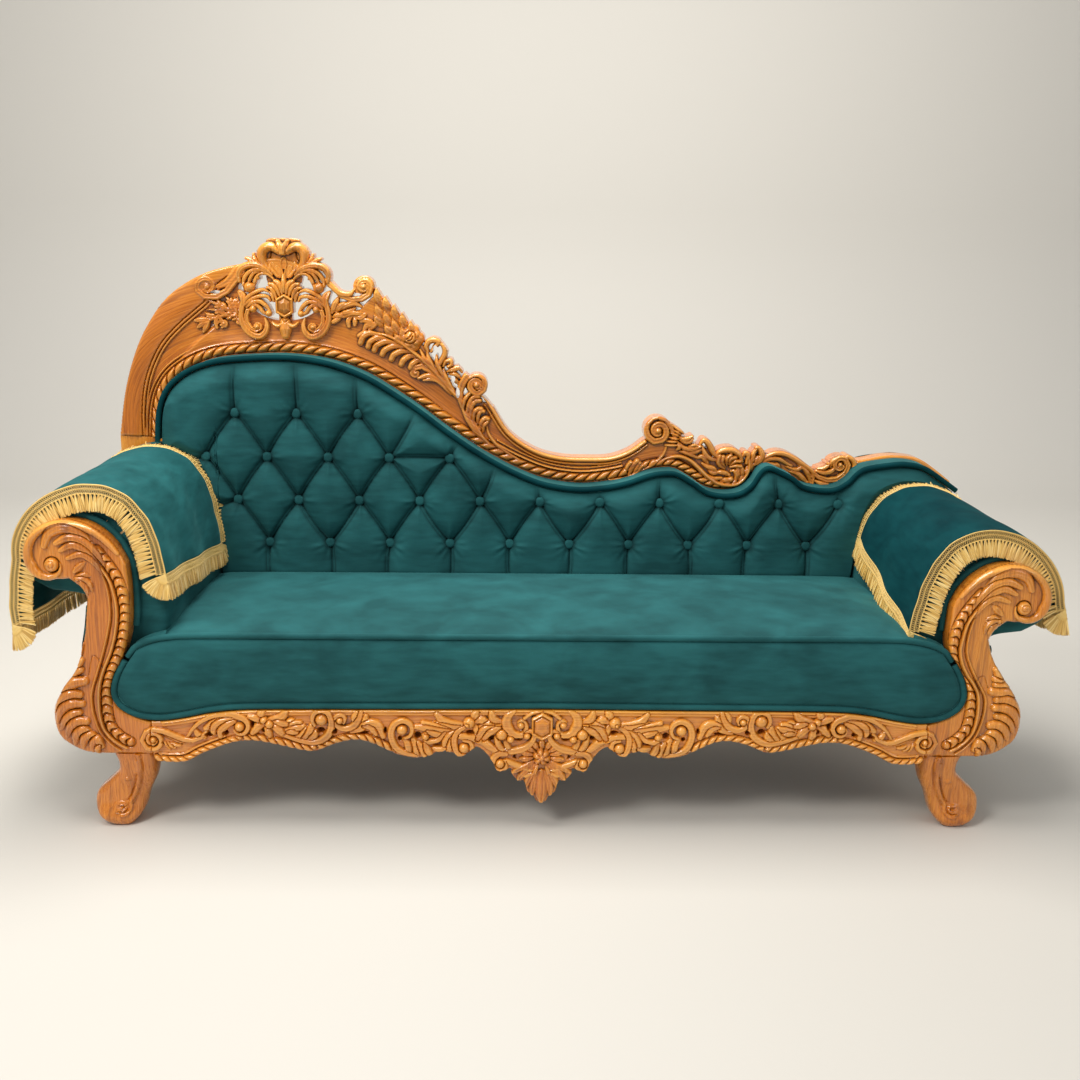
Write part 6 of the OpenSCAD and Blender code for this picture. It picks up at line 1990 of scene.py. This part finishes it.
# throws
class Throw:
    """A throw over an arm: a cloth whose inner and outer edges hang lower at one end."""

    def __init__(self, side, e, inner, outer, width=470.0):
        self.side, self.width, self.e = side, width, e
        self.inner, self.outer = inner, outer
        path = np.concatenate([
            [(WALL_X - 3, e - 150), (WALL_X - 2.5, e - 100), (WALL_X - 1.5, e - 50)],
            roll_line(e)[12:][::-1],
            [(EYE_X + 98, e - 45), (EYE_X + 103, e - 100), (EYE_X + 98, e - 150),
             (EYE_X + 80, e - 200)]])
        self.path = spaced(path, 4)
        self.s = lengths(self.path)
        self.start = [self.s[np.argmin(np.abs(self.path[:80, 1] - (e - d)))] for d in inner]
        half = len(self.path) // 2
        self.end = [self.s[half + np.argmin(np.abs(self.path[half:, 1] - (e - d)))] for d in outer]
        self.out = beside(self.path, 1) - self.path

    def at(self, u, v, lift=1.0):
        """Points of the cloth: u from its inner edge to its outer one, v from front to rear."""
        u, v = np.broadcast_arrays(np.asarray(u, float), np.asarray(v, float))
        a = self.start[0] + (self.start[1] - self.start[0]) * v
        b = self.end[0] + (self.end[1] - self.end[0]) * v
        s = a + (b - a) * u
        x = np.interp(s, self.s, self.path[:, 0])
        z = np.interp(s, self.s, self.path[:, 1])
        nx = np.interp(s, self.s, self.out[:, 0])
        nz = np.interp(s, self.s, self.out[:, 1])
        ends = np.abs(2 * u - 1) ** 2.2
        hang = lift + 7 * (0.5 + 0.5 * np.cos(2 * np.pi * (2.2 * v + 0.7 * u) + self.side)) * (
            0.12 + 0.88 * ends)
        hang = hang + 1.2 * (1 + waves(s, v * self.width, 31 + self.side, 130))
        hang = hang + 0.8 * (1 + np.sin(s / 9 + 6 * np.sin(v * 5))) * np.exp(-((u - 0.25) / 0.2) ** 2)
        y = THROW_Y + v * self.width + 4 * np.sin(2 * np.pi * u * 1.5 + self.side)
        return np.stack([self.side * (x + nx * hang), y, z + nz * hang], -1)

    def frame(self, u, v):
        """Place, run along u, run along v and outward normal at points of the cloth."""
        h = 0.004
        p = self.at(u, v)
        du = self.at(np.asarray(u) + h, v) - self.at(np.asarray(u) - h, v)
        dv = self.at(u, np.asarray(v) + h) - self.at(u, np.asarray(v) - h)
        du /= np.linalg.norm(du, axis=-1, keepdims=True)
        dv /= np.linalg.norm(dv, axis=-1, keepdims=True)
        n = np.cross(du, dv) * self.side
        n /= np.linalg.norm(n, axis=-1, keepdims=True)
        return p, du, dv, n


class Fringe:
    """A throw's gold fringe: a heading of crossed threads, with bundles of strands below it."""

    def __init__(self, throw, long):
        self.throw, self.long = throw, long
        self.dice = np.random.default_rng(5 + throw.side)
        self.points, self.quads, self.shades = [], [], []
        self.count = 0

    def thread(self, line, r, sides, shade):
        """A thread along a line, in its own shade of gold."""
        p, q, _ = tube_mesh(line, r, sides)
        self.points.append(p)
        self.quads.append(q + self.count)
        self.shades.append(np.full(len(p), shade))
        self.count += len(p)

    def bundle(self, foot, fall, run, n, wild, drop):
        """A knot under the heading, with the strands that hang from it."""
        dice = self.dice
        lean = dice.normal(0, 0.05)
        for j in range(STRANDS):
            spread = (j - STRANDS // 2) * 1.45
            length = (self.long - HEADING[2]) * dice.uniform(0.93, 1.05)
            q = np.linspace(0, 1, 5)[:, None]
            way = fall + run * (lean + spread / 40 + dice.normal(0, wild * 0.4))
            way = way + n * dice.normal(0, wild * 0.5)
            way /= np.linalg.norm(way)
            line = foot + run * spread * 0.3 + n * ((j % 3) - 1) * 0.7
            line = line + way * q * length + DOWN * drop * q**2
            self.thread(line, np.array([0.85, 1.25, 1.45, 1.4, 0.9]), 4, dice.uniform(0.0, 1.0))
        knot = np.array([foot - fall * 1.2, foot + fall * 1.5, foot + fall * 4.5])
        self.thread(knot, np.array([1.4, 2.3, 1.7]), 6, 0.5)

    def along(self, name, t):
        """Points along an edge, with the way out of the cloth and the way off the arm."""
        u, v = {"front": (t, 0 * t), "rear": (t, 0 * t + 1), "inner": (0 * t, t),
                "outer": (0 * t + 1, t)}[name]
        p, du, dv, n = self.throw.frame(u, v)
        return p, {"front": -dv, "rear": dv, "inner": -du, "outer": du}[name], n

    def edge(self, name):
        """The heading and the bundles along one edge."""
        t = np.linspace(0, 1, 400)
        s = lengths(self.along(name, t)[0])
        bundles = int(s[-1] / BUNDLE_STEP)
        at = np.interp(np.arange(bundles * 2 + 1) / (bundles * 2) * s[-1], s, t)
        p, out, n = self.along(name, at)
        run = np.gradient(p, axis=0)
        run /= np.linalg.norm(run, axis=1, keepdims=True)
        fall = falling(name, out, n)
        fall -= run * np.sum(fall * run, axis=1, keepdims=True)
        fall /= np.linalg.norm(fall, axis=1, keepdims=True)
        level = [p + fall * d + n * (0.8 if name != "front" else 0) for d in HEADING]
        for row, r in zip(level, (1.4, 0.9, 1.3)):
            self.thread(row[::2], r, 5, 0.6)
        for upper, lower in zip(level[:-1], level[1:]):
            zig, zag = upper.copy(), lower.copy()
            zig[1::2], zag[1::2] = lower[1::2], upper[1::2]
            self.thread(zig, 1.1, 5, 0.75)
            self.thread(zag, 1.1, 5, 0.5)
        foot = level[2]
        wild = {"rear": 0.3, "inner": 0.12}.get(name, 0.05)
        for k in range(1, len(foot), 2):
            self.bundle(foot[k], fall[k], run[k], n[k], wild, 9 if name == "rear" else 3.6)

    def corner(self, u, v):
        """The heading and the bundles that fan out round a corner, from one edge to the next."""
        p, du, dv, n = (q[0] for q in self.throw.frame(np.array([u]), np.array([v])))
        first = falling("rear", dv, n) if v else falling("front", -dv, n)
        last = falling("side", du if u else -du, n)
        first /= np.linalg.norm(first)
        last /= np.linalg.norm(last)
        ways = [first * (1 - t) + last * t for t in np.linspace(0, 1, 13)]
        ways = [w / np.linalg.norm(w) for w in ways]
        for d in HEADING:
            self.thread(np.array([p + w * d for w in ways]), 1.6, 5, 0.6)
        for w, after in zip(ways[:-1], ways[1:]):
            self.thread(np.array([p + w * HEADING[0], p + after * HEADING[2]]), 1.35, 5, 0.7)
        for k in range(1, 12):
            self.bundle(p + ways[k] * HEADING[2], ways[k], 2 * (ways[k + 1] - ways[k - 1]), n, 0.08, 3.6)

    def whole(self, name):
        """The fringe along all four edges and round the corners, as one piece."""
        for edge in ("front", "inner", "rear", "outer"):
            self.edge(edge)
        for u, v in ((0.0, 0.0), (1.0, 0.0), (0.0, 1.0), (1.0, 1.0)):
            self.corner(u, v)
        made = mesh_of(name, np.concatenate(self.points), [np.concatenate(self.quads)], 80)
        paint(made, "strand", np.concatenate(self.shades))
        return made


def falling(name, out, n):
    """The way a fringe falls off an edge: over the edge, and then down."""
    if name == "front":
        return -n * 1.0 + out * 0.16 + DOWN * 0.25
    if name == "rear":
        return out * 0.9 + n * 0.35 + DOWN * 0.35
    return out * 0.8 + DOWN * 0.9 + n * 0.12


class DIVAN_OT_throws(bpy.types.Operator):
    """Velvet throws over the arms, with their gold crocheted fringes"""

    bl_idname = "divan.throws"
    bl_label = "Throws"

    def execute(self, context):
        long = context.scene.divan_sizes.fringe * 1000
        for side, word, e, inner, outer in (
            (-1, "left", HEAD_EYE, (26, 72), (140, 158)),
            (1, "right", FOOT_EYE, (62, -28), (12, 92)),
        ):
            throw = Throw(side, e, inner, outer)
            rows, cols = 190, 90
            u, v = np.meshgrid(np.linspace(0, 1, rows), np.linspace(0, 1, cols), indexing="ij")
            cloth = mesh_of(word + "_throw_cloth", throw.at(u, v).reshape(-1, 3),
                            [grid_faces(rows, cols, turn=side > 0)], 60)
            thicken(cloth, 0.0022)
            fringe = Fringe(throw, long).whole(word + "_throw_trim")
            settle(fringe, "gold", "gold_fringe", word + "_throw_fringe")
            # the left throw takes the upholstery's paler velvet colours with more sheen, the right one the
            # darker throw velvet
            settle(cloth, "throw" if side > 0 else "throw_paler", "throw_velvet", word + "_throw")
        return {"FINISHED"}


class DIVAN_OT_finishes(bpy.types.Operator):
    """Finishes of the frame's own parts that stay as they are"""

    bl_idname = "divan.finishes"
    bl_label = "Frame finishes"

    def execute(self, context):
        upright = ("rear_left_leg", "rear_right_leg", "back_left_post", "back_right_post")
        steel = ("corner_screws", "arm_bolts", "back_bolts")
        timber = ("seat_front_rail", "seat_rear_rail", "seat_left_rail", "seat_right_rail",
                  "seat_bearers", "corner_blocks", "seat_deck", "left_arm_formers",
                  "right_arm_formers", "left_arm_battens", "right_arm_battens", "back_struts",
                  "back_ply")
        for finish, names in (("upright", upright), ("level", ("back_lower_rail",)),
                              ("steel", steel), ("pine", timber)):
            for name in names:
                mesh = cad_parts[name].data
                mesh.materials.clear()
                mesh.materials.append(finish_of(finish))
        return {"FINISHED"}


# sizes and colours
def size_of(name, description, default):
    return bpy.props.FloatProperty(name=name, description=description, default=default,
                                   subtype="DISTANCE", unit="LENGTH")


def colour_of(name, description, default):
    return bpy.props.StringProperty(name=name, description=description, default=default)


class DivanSizes(bpy.types.PropertyGroup):
    """Sizes of the soft parts and of the view, which a user would change"""

    focal_length: bpy.props.FloatProperty(name="Focal length", description="Lens of the camera",
                                          default=41.75, unit="CAMERA")
    piping: size_of("Piping", "Diameter of the piping cord", 0.013)
    button: size_of("Button", "Diameter of a covered button", 0.024)
    crown: size_of("Crown", "Rise of the seat above its seam", 0.014)
    fringe: size_of("Fringe", "Length of the fringe below the cloth's edge", 0.052)


class DivanColours(bpy.types.PropertyGroup):
    """Colours of the finishes, as sRGB hex values"""

    wood_dark: colour_of("Wood, dark", "Darkest growth lines of the teak", "#7f3c08")
    wood_mid: colour_of("Wood, middle", "Middle tone of the teak", "#c46e14")
    wood_light: colour_of("Wood, light", "Light tone of the teak", "#e2922e")
    # the pale colour is also the painted highlight on carved tops
    wood_pale_and_highlight: colour_of("Wood, pale", "Palest wood and rubbed tops", "#f8bb5c")
    # the pore colour is also the painted shade in carved hollows
    wood_pore_and_shade: colour_of("Wood, pores", "Pores and stain in the hollows", "#451f08")
    velvet: colour_of("Velvet", "Velvet with its pile towards the viewer", "#164649")
    velvet_light: colour_of("Velvet, brushed", "Velvet with its pile brushed away", "#2f7579")
    # painted shade in the buttoned back's pleats and round its buttons
    velvet_crease_shade: colour_of("Velvet, folds", "Velvet shut into a pleat", "#061c1e")
    throw: colour_of("Throw", "Velvet of the throws", "#072f35")
    throw_light: colour_of("Throw, brushed", "Throw velvet brushed away", "#145156")
    gold_dark: colour_of("Gold, dark", "Darkest strands of the fringe", "#a97a34")
    gold: colour_of("Gold", "Fringe thread", "#e6bd62")
    gold_light: colour_of("Gold, light", "Lightest strands of the fringe", "#ffe9a8")
    floor: colour_of("Floor", "Pale studio floor", "#cbc9c4")


class DIVAN_PT_panel(bpy.types.Panel):
    """Steps that build the divan's looks"""

    bl_label = "Divan"
    bl_space_type = "VIEW_3D"
    bl_region_type = "UI"
    bl_category = "Divan"

    def draw(self, context):
        for step in STEPS:
            self.layout.operator(step.bl_idname)
        for group in (context.scene.divan_sizes, context.scene.divan_colours):
            for key in group.__annotations__:
                self.layout.prop(group, key)


STEPS = (DIVAN_OT_stage, DIVAN_OT_finishes, DIVAN_OT_crest, DIVAN_OT_apron, DIVAN_OT_facings,
         DIVAN_OT_legs, DIVAN_OT_back, DIVAN_OT_seat, DIVAN_OT_arms, DIVAN_OT_throws)
CLASSES = (DivanSizes, DivanColours, *STEPS, DIVAN_PT_panel)


def register():
    for item in CLASSES:
        bpy.utils.register_class(item)
    bpy.types.Scene.divan_sizes = bpy.props.PointerProperty(type=DivanSizes)
    bpy.types.Scene.divan_colours = bpy.props.PointerProperty(type=DivanColours)


def unregister():
    del bpy.types.Scene.divan_colours
    del bpy.types.Scene.divan_sizes
    for item in reversed(CLASSES):
        bpy.utils.unregister_class(item)


def main():
    register()
    for step in STEPS:
        group, name = step.bl_idname.split(".")
        getattr(getattr(bpy.ops, group), name)()


if __name__ == "__main__":
    main()
